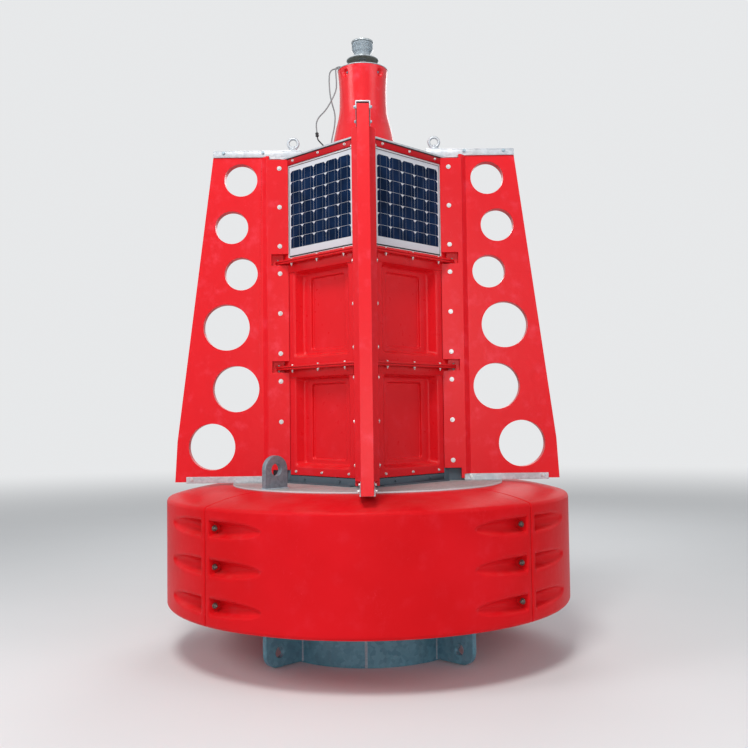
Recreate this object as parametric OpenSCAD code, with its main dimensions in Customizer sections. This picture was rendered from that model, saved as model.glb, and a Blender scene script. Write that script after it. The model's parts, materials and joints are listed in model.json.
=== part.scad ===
// Modular navigation buoy: a float of four moulded quarters clamped round a steel
// tail tube, a square day-mark tower with four pierced fins, solar panels and a
// lantern on a flared pedestal. Millimetres, +Z up, the origin on the floor under
// the tail tube's axis. The front fin points along -Y.

/* [Float] */
// Radius of the float
float_r = 1425; // [1300:5:1550]
// Height of the float from its flat underside to the deck plate
float_h = 802; // [700:2:900]
// Drop of the domed top from the deck to the rim
crown_drop = 62; // [40:1:90]
// Radius of the softened rim and lower edge
rim_r = 45; // [30:1:60]
// Gap of the seam between two quarters at the rim
seam_w = 6; // [2:0.5:12]
// Height of a bolt pocket's mouth
pocket_h = 95; // [70:1:120]
// Length of a bolt pocket along the side
pocket_len = 413; // [300:1:480]
// Depth of a bolt pocket at its end wall
pocket_depth = 84; // [60:1:110]
// Distance from the seam to a pocket's end wall
pocket_edge = 45; // [30:1:80]
// Height of the middle row of pockets above the float's underside
pocket_mid = 371; // [350:1:400]
// Spacing of the three rows of pockets
pocket_pitch = 236; // [200:1:260]

/* [Tail tube] */
// Outer radius of the steel tail tube
tube_r = 655; // [600:5:720]
// Wall of the tail tube
tube_wall = 12; // [8:1:20]
// Length of the tube below the float
tail_h = 356; // [300:2:420]
// Reach of a mooring lug from the axis
lug_reach = 963; // [900:1:1000]
// Thickness of a mooring lug
lug_t = 38; // [25:1:50]
// Radius of a mooring lug's bore
lug_bore_r = 37; // [25:1:45]
// Height of the bore above the floor
lug_bore_z = 102; // [90:1:140]
// Radial place of the bore
lug_bore_x = 848; // [800:1:880]
// Radius of the lug's lower outer corner
lug_corner_r = 92; // [60:1:110]

/* [Deck] */
// Radius of the deck plate
deck_r = 968; // [940:1:990]
// Thickness of the deck plate
deck_t = 12; // [8:1:20]
// Radial place of the two deck pad eyes
pad_x = 866; // [840:1:870]
// Width of a pad eye across its rounded head
pad_w = 188; // [160:1:200]
// Thickness of a pad eye
pad_t = 38; // [25:1:50]
// Height of the pad eye's bore above the deck
pad_bore_h = 124; // [105:1:150]
// Radius of the pad eye's bore
pad_bore_r = 41; // [30:1:50]

/* [Tower] */
// Distance from the axis to the tower's faces
face_r = 457; // [440:1:480]
// Height of the steel base angle
base_h = 52; // [40:1:70]
// Height of a bay with a day panel
bay_h = 780; // [700:1:820]
// Height of the top bay with the solar panel
top_bay_h = 738; // [720:1:760]
// Sheet thickness of the rails, header and base angle
rail_t = 8; // [5:1:10]
// Reach of a rail's lip from the tower's face
lip_reach = 50; // [35:1:60]
// How far a lip's mitred end leans outwards on its way to the tip
lip_splay = 40; // [20:1:45]
// Height of a rail's leg above the lip
leg_up = 24; // [20:1:40]
// Height of a rail's leg below the lip
leg_down = 96; // [80:1:110]
// Height of the header's leg
header_h = 44; // [35:1:60]
// Reach of the header's flange behind the tower's face
header_in = 40; // [20:1:60]
// Thickness of the top plate
cap_t = 12; // [8:1:20]
// Overhang of the top plate past the faces
cap_over = 6; // [2:1:12]
// Thickness of the packing ears under the top bars
ear_t = 13; // [8:1:20]
// Distance of the packing ears' ends from the end of the root's flat side
ear_back = 20; // [10:1:40]

/* [Day panels] */
// Skin thickness of a moulded day panel
skin_t = 8; // [5:1:10]
// Depth of the panel's first recess
pan_depth = 70; // [50:1:80]
// Extra depth of the middle field
field_depth = 20; // [10:1:30]
// Half width of the recess at the face
pan_half_w = 281; // [260:1:290]
// Draft of the recess at its sides
pan_draft = 33; // [20:1:45]
// Draft of the recess at its top and foot
pan_draft_ends = 16; // [8:1:30]
// Width of the ledge beside the field
ledge_w = 72; // [50:1:90]
// Width of the ledge above and below the field
ledge_ends = 34; // [20:1:60]
// Border from the bay's foot to the recess
pan_foot = 66; // [55:1:75]

/* [Solar panels] */
// Width of a solar panel's frame
solar_w = 684; // [600:1:684]
// Height of a solar panel's frame
solar_h = 684; // [600:1:688]
// Depth of the frame
solar_t = 36; // [25:1:45]
// Width of the frame's bar in front
solar_bar = 11; // [8:1:20]
// Distance of the frame behind the rails' face
solar_back = 22; // [12:1:30]
// Thickness of the laminate
laminate_t = 6; // [4:1:10]
// Depth of the laminate behind the frame's front
laminate_in = 3; // [1:1:8]

/* [Fins] */
// Thickness of a fin's wing
fin_t = 76; // [60:1:84]
// Reach of a fin at its foot
fin_foot_r = 1391; // [1340:1:1410]
// Reach of a fin at its top
fin_top_r = 1100; // [1060:1:1140]
// Height of the upright part of the outer edge
fin_kick_h = 290; // [200:5:400]
// How far the outer edge leans in over that part
fin_kick_in = 17; // [5:1:30]
// Width of the thick root beside the tower
root_w = 160; // [140:1:170]
// Reach of the root's flat side
root_reach = 710; // [700:1:730]
// Radial length of the sloped shoulder between root and wing
shoulder_l = 38; // [20:1:60]
// Radius of the three upper holes
hole_small_r = 120; // [90:1:124]
// Radius of the three lower holes
hole_big_r = 168; // [140:1:172]
// Depth of the notches that take the rails' ends
notch_depth = 42; // [30:1:44]
// Height of a rail notch
notch_h = 82; // [70:1:90]
// Distance of the notches' ends from the end of the root's flat side
notch_back = 32; // [20:1:50]
// Height of the notch at the root's foot
foot_notch_h = 90; // [70:1:110]
// Clearance of the root above the deck
root_lift = 16; // [4:1:30]

/* [Fin channels] */
// Wall of the channels that hold a fin's foot and top
channel_t = 8; // [6:1:10]
// Height of the foot channel
foot_channel_h = 46; // [40:1:60]
// Distance of the foot channel's inner end from the end of the root's flat side
foot_channel_back = 10; // [2:1:20]
// Outer end of the foot channel
foot_channel_out = 1310; // [1250:1:1330]
// Height of the top bar
top_bar_h = 50; // [40:1:60]
// Inner end of the top bar
top_bar_in = 458; // [440:1:480]
// Overhang of the top bar past the fin
top_bar_over = 4; // [0:1:10]
// Radius of the lifting eye's ring
eye_r = 46; // [42:1:52]
// Thickness of the lifting eye's ring
eye_t = 20; // [14:1:26]
// Radius of the lifting eye's bore
eye_bore_r = 26; // [20:1:30]
// Radial place of the lifting eye
eye_x = 520; // [510:1:540]
// Height of the eye's bore above the top bar
eye_h = 62; // [58:1:70]
// Length of the lifting eye's foot
eye_foot_l = 122; // [90:1:150]
// Width of the lifting eye's foot
eye_foot_w = 44; // [30:1:60]
// Height of the lifting eye's foot
eye_foot_h = 14; // [8:1:20]

/* [Pedestal and lantern] */
// Height of the pedestal
ped_h = 658; // [620:1:700]
// Radius of the pedestal's top
ped_top_r = 184; // [175:1:190]
// Radius of the pedestal's waist
ped_waist_r = 169; // [160:1:174]
// Radius of the round part at its foot
ped_foot_r = 214; // [200:1:220]
// Corner reach of the square part at its foot
ped_corner_r = 256; // [240:1:270]
// Thickness of the mounting plate on top
rim_t = 6; // [4:1:10]
// Radius of the lantern's foot ring
base_r = 104; // [98:1:108]
// Radius of the neck under the lantern's dish
neck_r = 58; // [50:1:70]
// Radius of the flared dish under the lens
dish_r = 119; // [110:1:125]
// Radius of the lantern's lower lens
lens_low_r = 65; // [60:1:70]
// Radius of the lantern's upper lens
lens_high_r = 79; // [74:1:84]
// Radius of the two signal leads
lead_r = 5; // [4:0.5:6]

/* [Hidden] */
$fn = 96;
CORNERS = [["right", 0], ["back", 90], ["left", 180], ["front", 270]];
FACES = [["front_right", 45], ["back_right", 135], ["back_left", 225], ["front_left", 315]];
BAYS = [["lower", 0], ["middle", 1]];
function names(stem, places) = [for (p = places) str(stem, p[0])];

red = [0.86, 0.10, 0.11];
galvanised = [0.66, 0.69, 0.72];
slate = [0.25, 0.31, 0.36];
// Clearance of a fit, gap between seated pieces, overshoot of a cut or of a fused piece
fit = 1;
rest = 0.3;
over = 1;

// Levels, all from the floor up
float_z = tail_h;
deck_z = tail_h + float_h;
deck_top = deck_z + deck_t;
tower_z = deck_top + base_h;
rail_low_z = tower_z + bay_h;
rail_high_z = rail_low_z + bay_h;
tower_top = rail_high_z + top_bay_h;
cap_top = tower_top + cap_t;
bar_z = cap_top + ear_t;
bar_top = bar_z + top_bar_h;
ped_top = cap_top + ped_h;
lantern_z = ped_top + rim_t;

// What ends near the end of the root's flat side
shoulder_reach = root_reach + shoulder_l;
notch_reach = root_reach - notch_back;
ear_reach = root_reach - ear_back;
foot_channel_in = root_reach - foot_channel_back;

// Plan of the tower: its corner, and where a root's side meets a face
corner_r = face_r * sqrt(2);
face_half = face_r - root_w / 2 * sqrt(2);

module face_place(a) {
    rotate([0, 0, a]) translate([0, -face_r, 0]) children();
}

// Float

quarter_a = 90 - 2 * asin(seam_w / 2 / float_r);
// The dome begins just outside the deck plate
crown_r = deck_r + 12;
crown_steps = 6;
rim_steps = 5;
rim_lean = 18;
rim_top_r = float_r - rim_r * (1 - sin(rim_lean));

// Half section of the float: dome from the deck to the rim, side, lower edge
function float_outline() =
    let (r0 = tube_r + fit, z1 = deck_z - crown_drop)
    concat(
        [[r0, float_z], [float_r - rim_r, float_z]],
        [for (i = [1:rim_steps]) let (a = -90 + 90 * i / rim_steps)
            [float_r - rim_r + rim_r * cos(a), float_z + rim_r + rim_r * sin(a)]],
        [for (i = [0:rim_steps]) let (a = (90 - rim_lean) * i / rim_steps)
            [float_r - rim_r + rim_r * cos(a), z1 - rim_r + rim_r * sin(a)]],
        [for (i = [1:crown_steps]) let (t = i / crown_steps, r = rim_top_r + (crown_r - rim_top_r) * t)
            [r, deck_z - (crown_drop + rim_r * (1 - cos(rim_lean))) * pow(1 - t, 2)]],
        [[r0, deck_z]]);

// Stations of a pocket: share of its length, depth of the axis, radius
POCKET = [[0, 0.45, 1], [0.4, 0.26, 0.96], [0.78, 0.06, 0.66], [1, -0.16, 0.2]];

module pocket_cut(z) {
    len_a = pocket_len / float_r * 180 / PI;
    edge_a = pocket_edge / float_r * 180 / PI;
    hull()
        for (s = POCKET, out = [0, 1])
            rotate([0, 0, 45 - edge_a - len_a * s[0]])
                translate([float_r - pocket_depth * s[1] + out * pocket_depth, 0, z])
                    rotate([90, 0, 0]) cylinder(r = pocket_h / 2 * s[2], h = 1, $fn = 20);
}

module float_quarter() {
    color(red) difference() {
        rotate([0, 0, -quarter_a / 2])
            rotate_extrude(angle = quarter_a, $fn = 128) polygon(float_outline());
        for (side = [0, 1], i = [-1:1])
            mirror([0, side, 0]) pocket_cut(float_z + pocket_mid + i * pocket_pitch);
    }
}

// Tail tube and mooring lugs

module tail_tube() {
    color(slate) difference() {
        cylinder(r = tube_r, h = deck_z, $fn = 128);
        translate([0, 0, -over])
            cylinder(r = tube_r - tube_wall, h = deck_z - tube_wall + over, $fn = 128);
    }
}

// The lugs end above the tube's rim, so that the rim alone meets the floor
lug_z = 8;

module mooring_lug() {
    top = float_z - rest;
    corner = [lug_reach - lug_corner_r, lug_z + lug_corner_r];
    color(slate) rotate([90, 0, 0]) translate([0, 0, -lug_t / 2]) difference() {
        linear_extrude(lug_t) {
            translate([tube_r + rest, lug_z]) square([corner[0] - tube_r - rest, top - lug_z]);
            translate([corner[0] - over, corner[1]]) square([lug_corner_r + over, top - corner[1]]);
            translate(corner) circle(lug_corner_r);
        }
        translate([lug_bore_x, lug_bore_z, -over]) cylinder(r = lug_bore_r, h = lug_t + 2 * over);
    }
}

// Deck plate and its pad eyes

module deck_plate() {
    color(galvanised) translate([0, 0, deck_z]) cylinder(r = deck_r, h = deck_t, $fn = 128);
}

module pad_eye() {
    color([0.5, 0.51, 0.53]) translate([pad_x, pad_t / 2, deck_top]) rotate([90, 0, 0])
        difference() {
            union() {
                translate([-pad_w / 2, 0, 0]) cube([pad_w, pad_bore_h, pad_t]);
                translate([0, pad_bore_h, 0]) cylinder(r = pad_w / 2, h = pad_t);
            }
            translate([0, pad_bore_h, -over]) cylinder(r = pad_bore_r, h = pad_t + 2 * over);
        }
}

// Tower frame

module base_angle() {
    color(slate) for (f = FACES) face_place(f[1]) {
        translate([-face_half, 0, deck_top]) cube([2 * face_half, rail_t, base_h]);
        translate([-face_half, -lip_reach, deck_top]) cube([2 * face_half, lip_reach + over, rail_t]);
    }
}

// Depth of the shelf behind a rail, which the pieces above stand on
shelf_reach = solar_back + solar_t + 4;
// One rail: a leg on the panels' borders, a lip whose ends enter the fins' notches, a shelf inside
module rail(z) {
    in = face_r - (root_w / 2 - notch_depth + fit) * sqrt(2);
    tip = in + lip_splay;
    translate([-face_half, -rail_t, z - leg_down]) cube([2 * face_half, rail_t, leg_up + leg_down]);
    translate([0, 0, z - rail_t / 2]) linear_extrude(rail_t)
        polygon([[-in, 0], [-tip, -lip_reach], [tip, -lip_reach], [in, 0],
                 [face_half, 0], [face_half, shelf_reach], [-face_half, shelf_reach], [-face_half, 0]]);
}

module rails(z) {
    color(red) for (f = FACES) face_place(f[1]) rail(z);
}

module header() {
    color(red) for (f = FACES) face_place(f[1]) {
        translate([-face_half, -rail_t, tower_top - header_h]) cube([2 * face_half, rail_t, header_h]);
        translate([-face_half, -rail_t, tower_top - rail_t]) cube([2 * face_half, header_in, rail_t]);
    }
}

module top_plate() {
    half = face_r + rail_t + cap_over;
    ear_w = fin_t + 2 * channel_t + 2 * fit;
    color(galvanised) {
        translate([0, 0, tower_top]) rotate([0, 0, 45]) intersection() {
            translate([-half, -half, 0]) cube([2 * half, 2 * half, cap_t]);
            rotate([0, 0, 45]) translate([-root_reach, -root_reach, 0])
                cube([2 * root_reach, 2 * root_reach, cap_t]);
        }
        for (c = CORNERS) rotate([0, 0, c[1]])
            translate([top_bar_in, -ear_w / 2, cap_top - over])
                cube([ear_reach - top_bar_in, ear_w, ear_t + over]);
    }
}

// Day panels

// A recess with drafted walls, from its mouth on the face to its floor at the given depth
module recess(half_w, z0, z1, depth, draft, draft_ends) {
    intersection() {
        translate([0, 0, z0 - over]) linear_extrude(z1 - z0 + 2 * over)
            polygon([[-half_w, -over], [half_w, -over], [half_w, 0], [half_w - draft, depth],
                     [draft - half_w, depth], [-half_w, 0]]);
        translate([-half_w - over, 0, 0]) rotate([90, 0, 90]) linear_extrude(2 * (half_w + over))
            polygon([[-over, z0], [0, z0], [depth, z0 + draft_ends],
                     [depth, z1 - draft_ends], [0, z1], [-over, z1]]);
    }
}

field_draft = 3;

module day_panel(bay) {
    z0 = tower_z + bay * bay_h;
    r0 = z0 + pan_foot;
    r1 = z0 + bay_h - leg_down;
    field_half = pan_half_w - pan_draft - ledge_w;
    f0 = r0 + pan_draft_ends + ledge_ends;
    f1 = r1 - pan_draft_ends - ledge_ends;
    color(red) difference() {
        union() {
            translate([-face_half + rest, 0, z0 + rail_t / 2 + rest])
                cube([2 * face_half - 2 * rest, skin_t, bay_h - rail_t - 2 * rest]);
            recess(pan_half_w + skin_t, r0 - skin_t, r1 + skin_t, pan_depth + skin_t,
                   pan_draft, pan_draft_ends);
            translate([0, pan_depth, 0])
                recess(field_half + skin_t, f0 - skin_t, f1 + skin_t, field_depth + skin_t,
                       field_draft, field_draft);
        }
        recess(pan_half_w, r0, r1, pan_depth, pan_draft, pan_draft_ends);
        translate([0, pan_depth, 0]) recess(field_half, f0, f1, field_depth, field_draft, field_draft);
        translate([-face_half, -2 * over, z0]) cube([2 * face_half, 2 * over, bay_h]);
    }
}

// Solar panels

solar_z = rail_high_z + rail_t / 2 + rest;

module solar_frame() {
    color(galvanised) difference() {
        translate([-solar_w / 2, solar_back, solar_z]) cube([solar_w, solar_t, solar_h]);
        translate([-solar_w / 2 + solar_bar, solar_back - over, solar_z + solar_bar])
            cube([solar_w - 2 * solar_bar, solar_t + 2 * over, solar_h - 2 * solar_bar]);
    }
}

module solar_laminate() {
    gap = solar_bar + rest;
    color([0.08, 0.11, 0.22]) translate([-solar_w / 2 + gap, solar_back + laminate_in, solar_z + gap])
        cube([solar_w - 2 * gap, laminate_t, solar_h - 2 * gap]);
}

// Fins

// Gap between a fin's top and the bar over it, lap of the wing into the root
top_gap = 3;
wing_lap = 20;
wing_z = deck_top + channel_t + rest;
wing_top = bar_top - channel_t - top_gap;
// Holes of a fin: radial place, share of the tower's height, radius
HOLES = [
    [1124, 0.0905, hole_big_r], [947, 0.2724, hole_big_r], [1014, 0.4678, hole_big_r],
    [905, 0.638, hole_small_r], [972, 0.7868, hole_small_r], [903, 0.9386, hole_small_r]];

module wing() {
    rotate([90, 0, 0]) translate([0, 0, -fin_t / 2]) difference() {
        linear_extrude(fin_t) polygon([
            [root_reach - wing_lap, wing_z], [fin_foot_r, wing_z],
            [fin_foot_r - fin_kick_in, wing_z + fin_kick_h], [fin_top_r, wing_top],
            [root_reach - wing_lap, wing_top]]);
        for (h = HOLES)
            translate([h[0], tower_z + (tower_top - tower_z) * h[1], -over])
                cylinder(r = h[2], h = fin_t + 2 * over);
    }
}

module root() {
    side = root_w / 2;
    edge = corner_r - side + fit;
    foot = deck_top + root_lift;
    translate([0, 0, foot]) linear_extrude(bar_z - foot) polygon([
        [corner_r + fit, 0], [edge, side], [root_reach, side], [shoulder_reach, fin_t / 2],
        [shoulder_reach, -fin_t / 2], [root_reach, -side], [edge, -side]]);
}

// Notches of the root: level, height, how far each cuts in from the side
module notches() {
    start = corner_r - root_w;
    for (m = [0, 1]) mirror([0, m, 0]) {
        for (z = [rail_low_z, rail_high_z])
            translate([start, root_w / 2 - notch_depth, z - notch_h / 2])
                cube([notch_reach - start, root_w, notch_h]);
        translate([start, -over, deck_top]) cube([notch_reach - start, root_w, foot_notch_h]);
        translate([foot_channel_in - fit, -over, deck_top]) cube([root_w, root_w, foot_channel_h + fit]);
        translate([start, -over, tower_top - 2 * fit])
            cube([ear_reach + 2 * fit - start, root_w, bar_z - tower_top + 3 * fit]);
    }
}

module fin() {
    color(red) {
        difference() {
            root();
            notches();
        }
        wing();
    }
}

// A channel round a fin's edge, open upwards
module channel(x0, x1, h) {
    half = fin_t / 2 + fit + channel_t;
    difference() {
        translate([x0, -half, 0]) cube([x1 - x0, 2 * half, h]);
        translate([x0 - over, -half + channel_t, channel_t])
            cube([x1 - x0 + 2 * over, 2 * (half - channel_t), h]);
    }
}

module foot_channel() {
    color(galvanised) translate([0, 0, deck_top]) channel(foot_channel_in, foot_channel_out, foot_channel_h);
}

module top_bar() {
    color(galvanised) {
        translate([0, 0, bar_top]) mirror([0, 0, 1])
            channel(top_bar_in, fin_top_r + top_bar_over, top_bar_h);
        translate([eye_x, 0, bar_top]) difference() {
            union() {
                translate([-eye_foot_l / 2, -eye_foot_w / 2, -over])
                    cube([eye_foot_l, eye_foot_w, eye_foot_h + over]);
                translate([0, eye_t / 2, eye_h]) rotate([90, 0, 0]) cylinder(r = eye_r, h = eye_t);
                translate([-eye_bore_r, -eye_t / 2, 0]) cube([2 * eye_bore_r, eye_t, eye_h - eye_bore_r]);
            }
            translate([0, eye_t, eye_h]) rotate([90, 0, 0]) cylinder(r = eye_bore_r, h = 2 * eye_t);
        }
    }
}

// Pedestal

// Round part below the waist: share of the height, share of the flare from waist to foot
ROUND = [[0, 1], [0.2, 0.67], [0.4, 0.24], [0.6, 0.04], [0.77, 0]];
// Square part, corners over the fins: share of the height, share of the corner's reach
SQUARE = [[0, 1], [0.22, 0.863], [0.37, 0.785], [0.53, 0.707], [0.8, 0.625]];

module pedestal() {
    color(red) translate([0, 0, cap_top]) {
        rotate_extrude() polygon(concat(
            [[0, 0]],
            [for (s = ROUND) [ped_waist_r + s[1] * (ped_foot_r - ped_waist_r), s[0] * ped_h]],
            [[ped_top_r, ped_h], [0, ped_h]]));
        for (i = [0:len(SQUARE) - 2])
            translate([0, 0, SQUARE[i][0] * ped_h])
                cylinder(r1 = SQUARE[i][1] * ped_corner_r, r2 = SQUARE[i + 1][1] * ped_corner_r,
                         h = (SQUARE[i + 1][0] - SQUARE[i][0]) * ped_h, $fn = 4);
    }
}

rim_over = 2;

module pedestal_rim() {
    color(galvanised) translate([0, 0, ped_top]) cylinder(r = ped_top_r + rim_over, h = rim_t);
}

// Lantern: heights above the rim plate, then thicknesses
base_ring_h = 22;
neck_h = 30;
dish_rim_z = 75;
seat_z = 104;
lens_low_h = 60;
lens_high_h = 44;
cap_h = 31;
cap_edge_h = 16;
spike_h = 19;
spike_r = 6;
spike_tip_r = 2;
dish_t = 5;
seat_over = 12;
lens_t = 6;

module lantern_base() {
    color(galvanised) translate([0, 0, lantern_z]) rotate_extrude() polygon([
        [0, 0], [base_r, 0], [base_r, base_ring_h], [neck_r, base_ring_h + dish_t],
        [neck_r, base_ring_h + neck_h], [dish_r, dish_rim_z], [dish_r, dish_rim_z + dish_t],
        [lens_low_r + seat_over, seat_z - dish_t], [lens_low_r + seat_over, seat_z], [0, seat_z]]);
}

module lantern_lens() {
    z1 = seat_z + lens_low_h;
    z2 = z1 + lens_high_h;
    flare_z = z1 - lens_low_h / 2;
    color([0.85, 0.88, 0.88, 0.5]) translate([0, 0, lantern_z]) rotate_extrude() polygon([
        [lens_low_r - lens_t, seat_z], [lens_low_r, seat_z], [lens_low_r, flare_z], [lens_high_r, z1],
        [lens_high_r, z2], [lens_high_r - lens_t, z2], [lens_high_r - lens_t, z1],
        [lens_low_r - lens_t, flare_z]]);
}

module lantern_lamp() {
    color([0.8, 0.8, 0.78]) translate([0, 0, lantern_z + seat_z]) {
        cylinder(r = lens_low_r / 2, h = lens_low_h / 2);
        cylinder(r = lens_low_r / 3, h = lens_low_h + lens_high_h - rest);
    }
}

cap_r = lens_high_r - 2;
cap_crown_r = lens_high_r - 26;

module lantern_cap() {
    z = seat_z + lens_low_h + lens_high_h;
    color(galvanised) translate([0, 0, lantern_z + z]) {
        rotate_extrude() polygon([
            [0, 0], [cap_r, 0], [cap_r, cap_edge_h], [cap_crown_r, cap_h], [0, cap_h]]);
        cylinder(r1 = spike_r, r2 = spike_tip_r, h = cap_h + spike_h, $fn = 24);
    }
}

// Signal leads from the lantern to the top plate

// Route points, chosen by hand, with heights above the top plate
SHORT = [[-118, -60, 676], [-150, -60, 676], [-184, -62, 673], [-198, -64, 648], [-194, -68, 518],
         [-228, -72, 428], [-276, -76, 348], [-322, -78, 298], [-343, -78, 244], [-342, -76, 220]];
TAIL = [[-336, -74, 160], [-334, -73, 142], [-312, -70, 116], [-282, -68, 78], [-270, -66, 24]];
LONG = [[-118, -30, 676], [-150, -30, 676], [-222, -30, 668], [-247, -32, 618], [-243, -34, 488],
        [-230, -36, 418], [-208, -40, 328], [-212, -46, 238], [-232, -50, 138], [-246, -52, 24]];
spans = 3;
// Sides of a lead's tube
sides = 8;
// Gap between a lead's end and what it enters
lead_gap = 0.7;
gland_r = 11;
side_gland_r = 9;
joint_r = 13;

function along(p, i, t) =
    let (n = len(p) - 1, a = p[max(i - 1, 0)], b = p[i], c = p[i + 1], d = p[min(i + 2, n)])
    0.5 * (2 * b + (c - a) * t + (2 * a - 5 * b + 4 * c - d) * t * t + (3 * b - a - 3 * c + d) * t * t * t);
function route(p) = concat(
    [for (i = [0:len(p) - 2]) for (k = [0:spans - 1]) along(p, i, k / spans)], [p[len(p) - 1]]);
function unit(v) = v / norm(v);

module lead(points, r) {
    path = route(points);
    n = len(path);
    rings = [for (i = [0:n - 1])
        let (t = unit(path[min(i + 1, n - 1)] - path[max(i - 1, 0)]),
             u = unit(cross(t, [0, 1, 0])), v = cross(t, u))
        for (k = [0:sides - 1]) path[i] + r * (cos(360 * k / sides) * u + sin(360 * k / sides) * v)];
    translate([0, 0, cap_top]) polyhedron(rings, concat(
        [[for (k = [0:sides - 1]) k]],
        [for (i = [0:n - 2]) for (k = [0:sides - 1])
            let (j = i * sides, m = (k + 1) % sides)
            [j + k, j + sides + k, j + sides + m, j + m]],
        [[for (k = [0:sides - 1]) n * sides - 1 - k]]));
}

module lead_glands() {
    color([0.12, 0.12, 0.13]) translate([0, 0, cap_top]) {
        for (p = [TAIL[4], LONG[9]])
            translate([p[0], p[1], 0]) cylinder(r = gland_r, h = p[2] - lead_gap);
        for (p = [SHORT[0], LONG[0]]) difference() {
            translate([p[0] + lead_gap, p[1], p[2]]) rotate([0, 90, 0])
                cylinder(r = side_gland_r, h = -p[0]);
            cylinder(r = base_r + rest, h = ped_h + seat_z);
        }
    }
}

module lead_joint() {
    a = SHORT[9];
    b = TAIL[0];
    d = b - a;
    color([0.08, 0.08, 0.09]) translate([0, 0, cap_top]) translate(a + lead_gap * unit(d))
        rotate([0, acos(d[2] / norm(d)), atan2(d[1], d[0])]) cylinder(r = joint_r, h = norm(d) - 2 * lead_gap);
}

for (c = CORNERS) rotate([0, 0, c[1]]) {
    float_quarter();
    fin();
    foot_channel();
    top_bar();
}
for (f = FACES) {
    rotate([0, 0, f[1] - 90]) mooring_lug();
    face_place(f[1]) solar_frame();
    face_place(f[1]) solar_laminate();
    for (b = BAYS)
        face_place(f[1]) day_panel(b[1]);
}
tail_tube();
deck_plate();
rotate([0, 0, 225]) pad_eye();  // pad_eye_front_left
rotate([0, 0, 45]) pad_eye();  // pad_eye_back_right
base_angle();
rails(rail_low_z);  // rails_lower
rails(rail_high_z);  // rails_upper
header();
top_plate();
pedestal();
pedestal_rim();
lantern_base();
lantern_lens();
lantern_lamp();
lantern_cap();
lead_glands();
color([0.45, 0.46, 0.48]) lead(SHORT, lead_r);  // lead_short
lead_joint();
color([0.2, 0.2, 0.22]) lead(TAIL, lead_r);  // lead_tail
color([0.45, 0.46, 0.48]) lead(LONG, lead_r);  // lead_long
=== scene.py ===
# %% [markdown]
# # A modular navigation buoy
#
# A buoy like this is a ring of four hollow red mouldings, clamped round a steel tube. On the
# deck plate stands a square day-mark tower with four pierced fins, and on top a pedestal
# carries the lantern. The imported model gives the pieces' places and sizes. This lesson gives
# them soft edges, fasteners and finishes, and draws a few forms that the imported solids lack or
# have more simply.

# %% Load the frame
import json
from math import asin, copysign, cos, degrees, pi, radians, sin, sqrt

import bmesh
import bpy
import numpy as np
from mathutils import Matrix, Vector, noise

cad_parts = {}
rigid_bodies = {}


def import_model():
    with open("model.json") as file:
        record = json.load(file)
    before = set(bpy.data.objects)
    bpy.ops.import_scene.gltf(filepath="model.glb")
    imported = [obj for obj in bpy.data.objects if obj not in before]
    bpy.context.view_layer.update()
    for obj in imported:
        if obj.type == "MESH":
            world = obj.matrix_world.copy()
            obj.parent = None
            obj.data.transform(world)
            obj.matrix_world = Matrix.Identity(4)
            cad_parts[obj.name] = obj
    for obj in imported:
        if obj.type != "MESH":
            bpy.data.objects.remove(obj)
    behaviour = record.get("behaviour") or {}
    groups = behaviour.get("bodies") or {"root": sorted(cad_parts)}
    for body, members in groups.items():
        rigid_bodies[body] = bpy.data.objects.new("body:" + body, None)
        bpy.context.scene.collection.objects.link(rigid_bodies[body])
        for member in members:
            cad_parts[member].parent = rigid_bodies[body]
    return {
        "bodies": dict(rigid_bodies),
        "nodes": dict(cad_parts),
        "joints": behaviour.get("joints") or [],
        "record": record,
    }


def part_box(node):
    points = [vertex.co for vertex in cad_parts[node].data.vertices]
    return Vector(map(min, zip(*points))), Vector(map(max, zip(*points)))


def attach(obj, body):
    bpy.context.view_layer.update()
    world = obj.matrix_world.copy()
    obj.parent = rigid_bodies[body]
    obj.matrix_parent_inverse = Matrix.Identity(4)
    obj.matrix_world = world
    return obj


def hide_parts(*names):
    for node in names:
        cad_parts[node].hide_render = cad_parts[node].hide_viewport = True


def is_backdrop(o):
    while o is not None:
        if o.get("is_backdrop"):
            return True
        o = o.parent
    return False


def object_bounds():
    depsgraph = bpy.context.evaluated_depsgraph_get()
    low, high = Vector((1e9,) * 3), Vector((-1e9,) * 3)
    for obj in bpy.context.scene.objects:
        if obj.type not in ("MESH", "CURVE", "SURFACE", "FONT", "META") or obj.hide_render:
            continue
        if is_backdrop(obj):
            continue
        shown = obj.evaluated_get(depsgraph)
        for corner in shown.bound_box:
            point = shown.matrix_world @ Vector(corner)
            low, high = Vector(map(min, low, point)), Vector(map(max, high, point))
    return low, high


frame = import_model()
nodes = frame["nodes"]
cad_box = [list(corner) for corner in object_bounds()]
scene = bpy.context.scene
scene.view_settings.view_transform = "Standard"
print("frame:", len(nodes), "nodes in the box", [[round(v, 3) for v in c] for c in cad_box])

# %% [markdown]
# Like pieces stand round the axis. A corner is where a fin stands, a face is where panels
# hang, and both are angles about the axis. Most levels and radii are read from the nodes'
# boxes. Typed in are the legs of the rails, a bay's height, a fin root's half width and the
# distance of the tower's faces, which stand 10 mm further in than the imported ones.

# %% Corners, faces and levels
CORNERS = {"right": 0, "back": 90, "left": 180, "front": 270}
FACES = {"front_right": 45, "back_right": 135, "back_left": 225, "front_left": 315}
MM = 0.001


def low(node):
    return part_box(node)[0]


def high(node):
    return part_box(node)[1]


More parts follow.
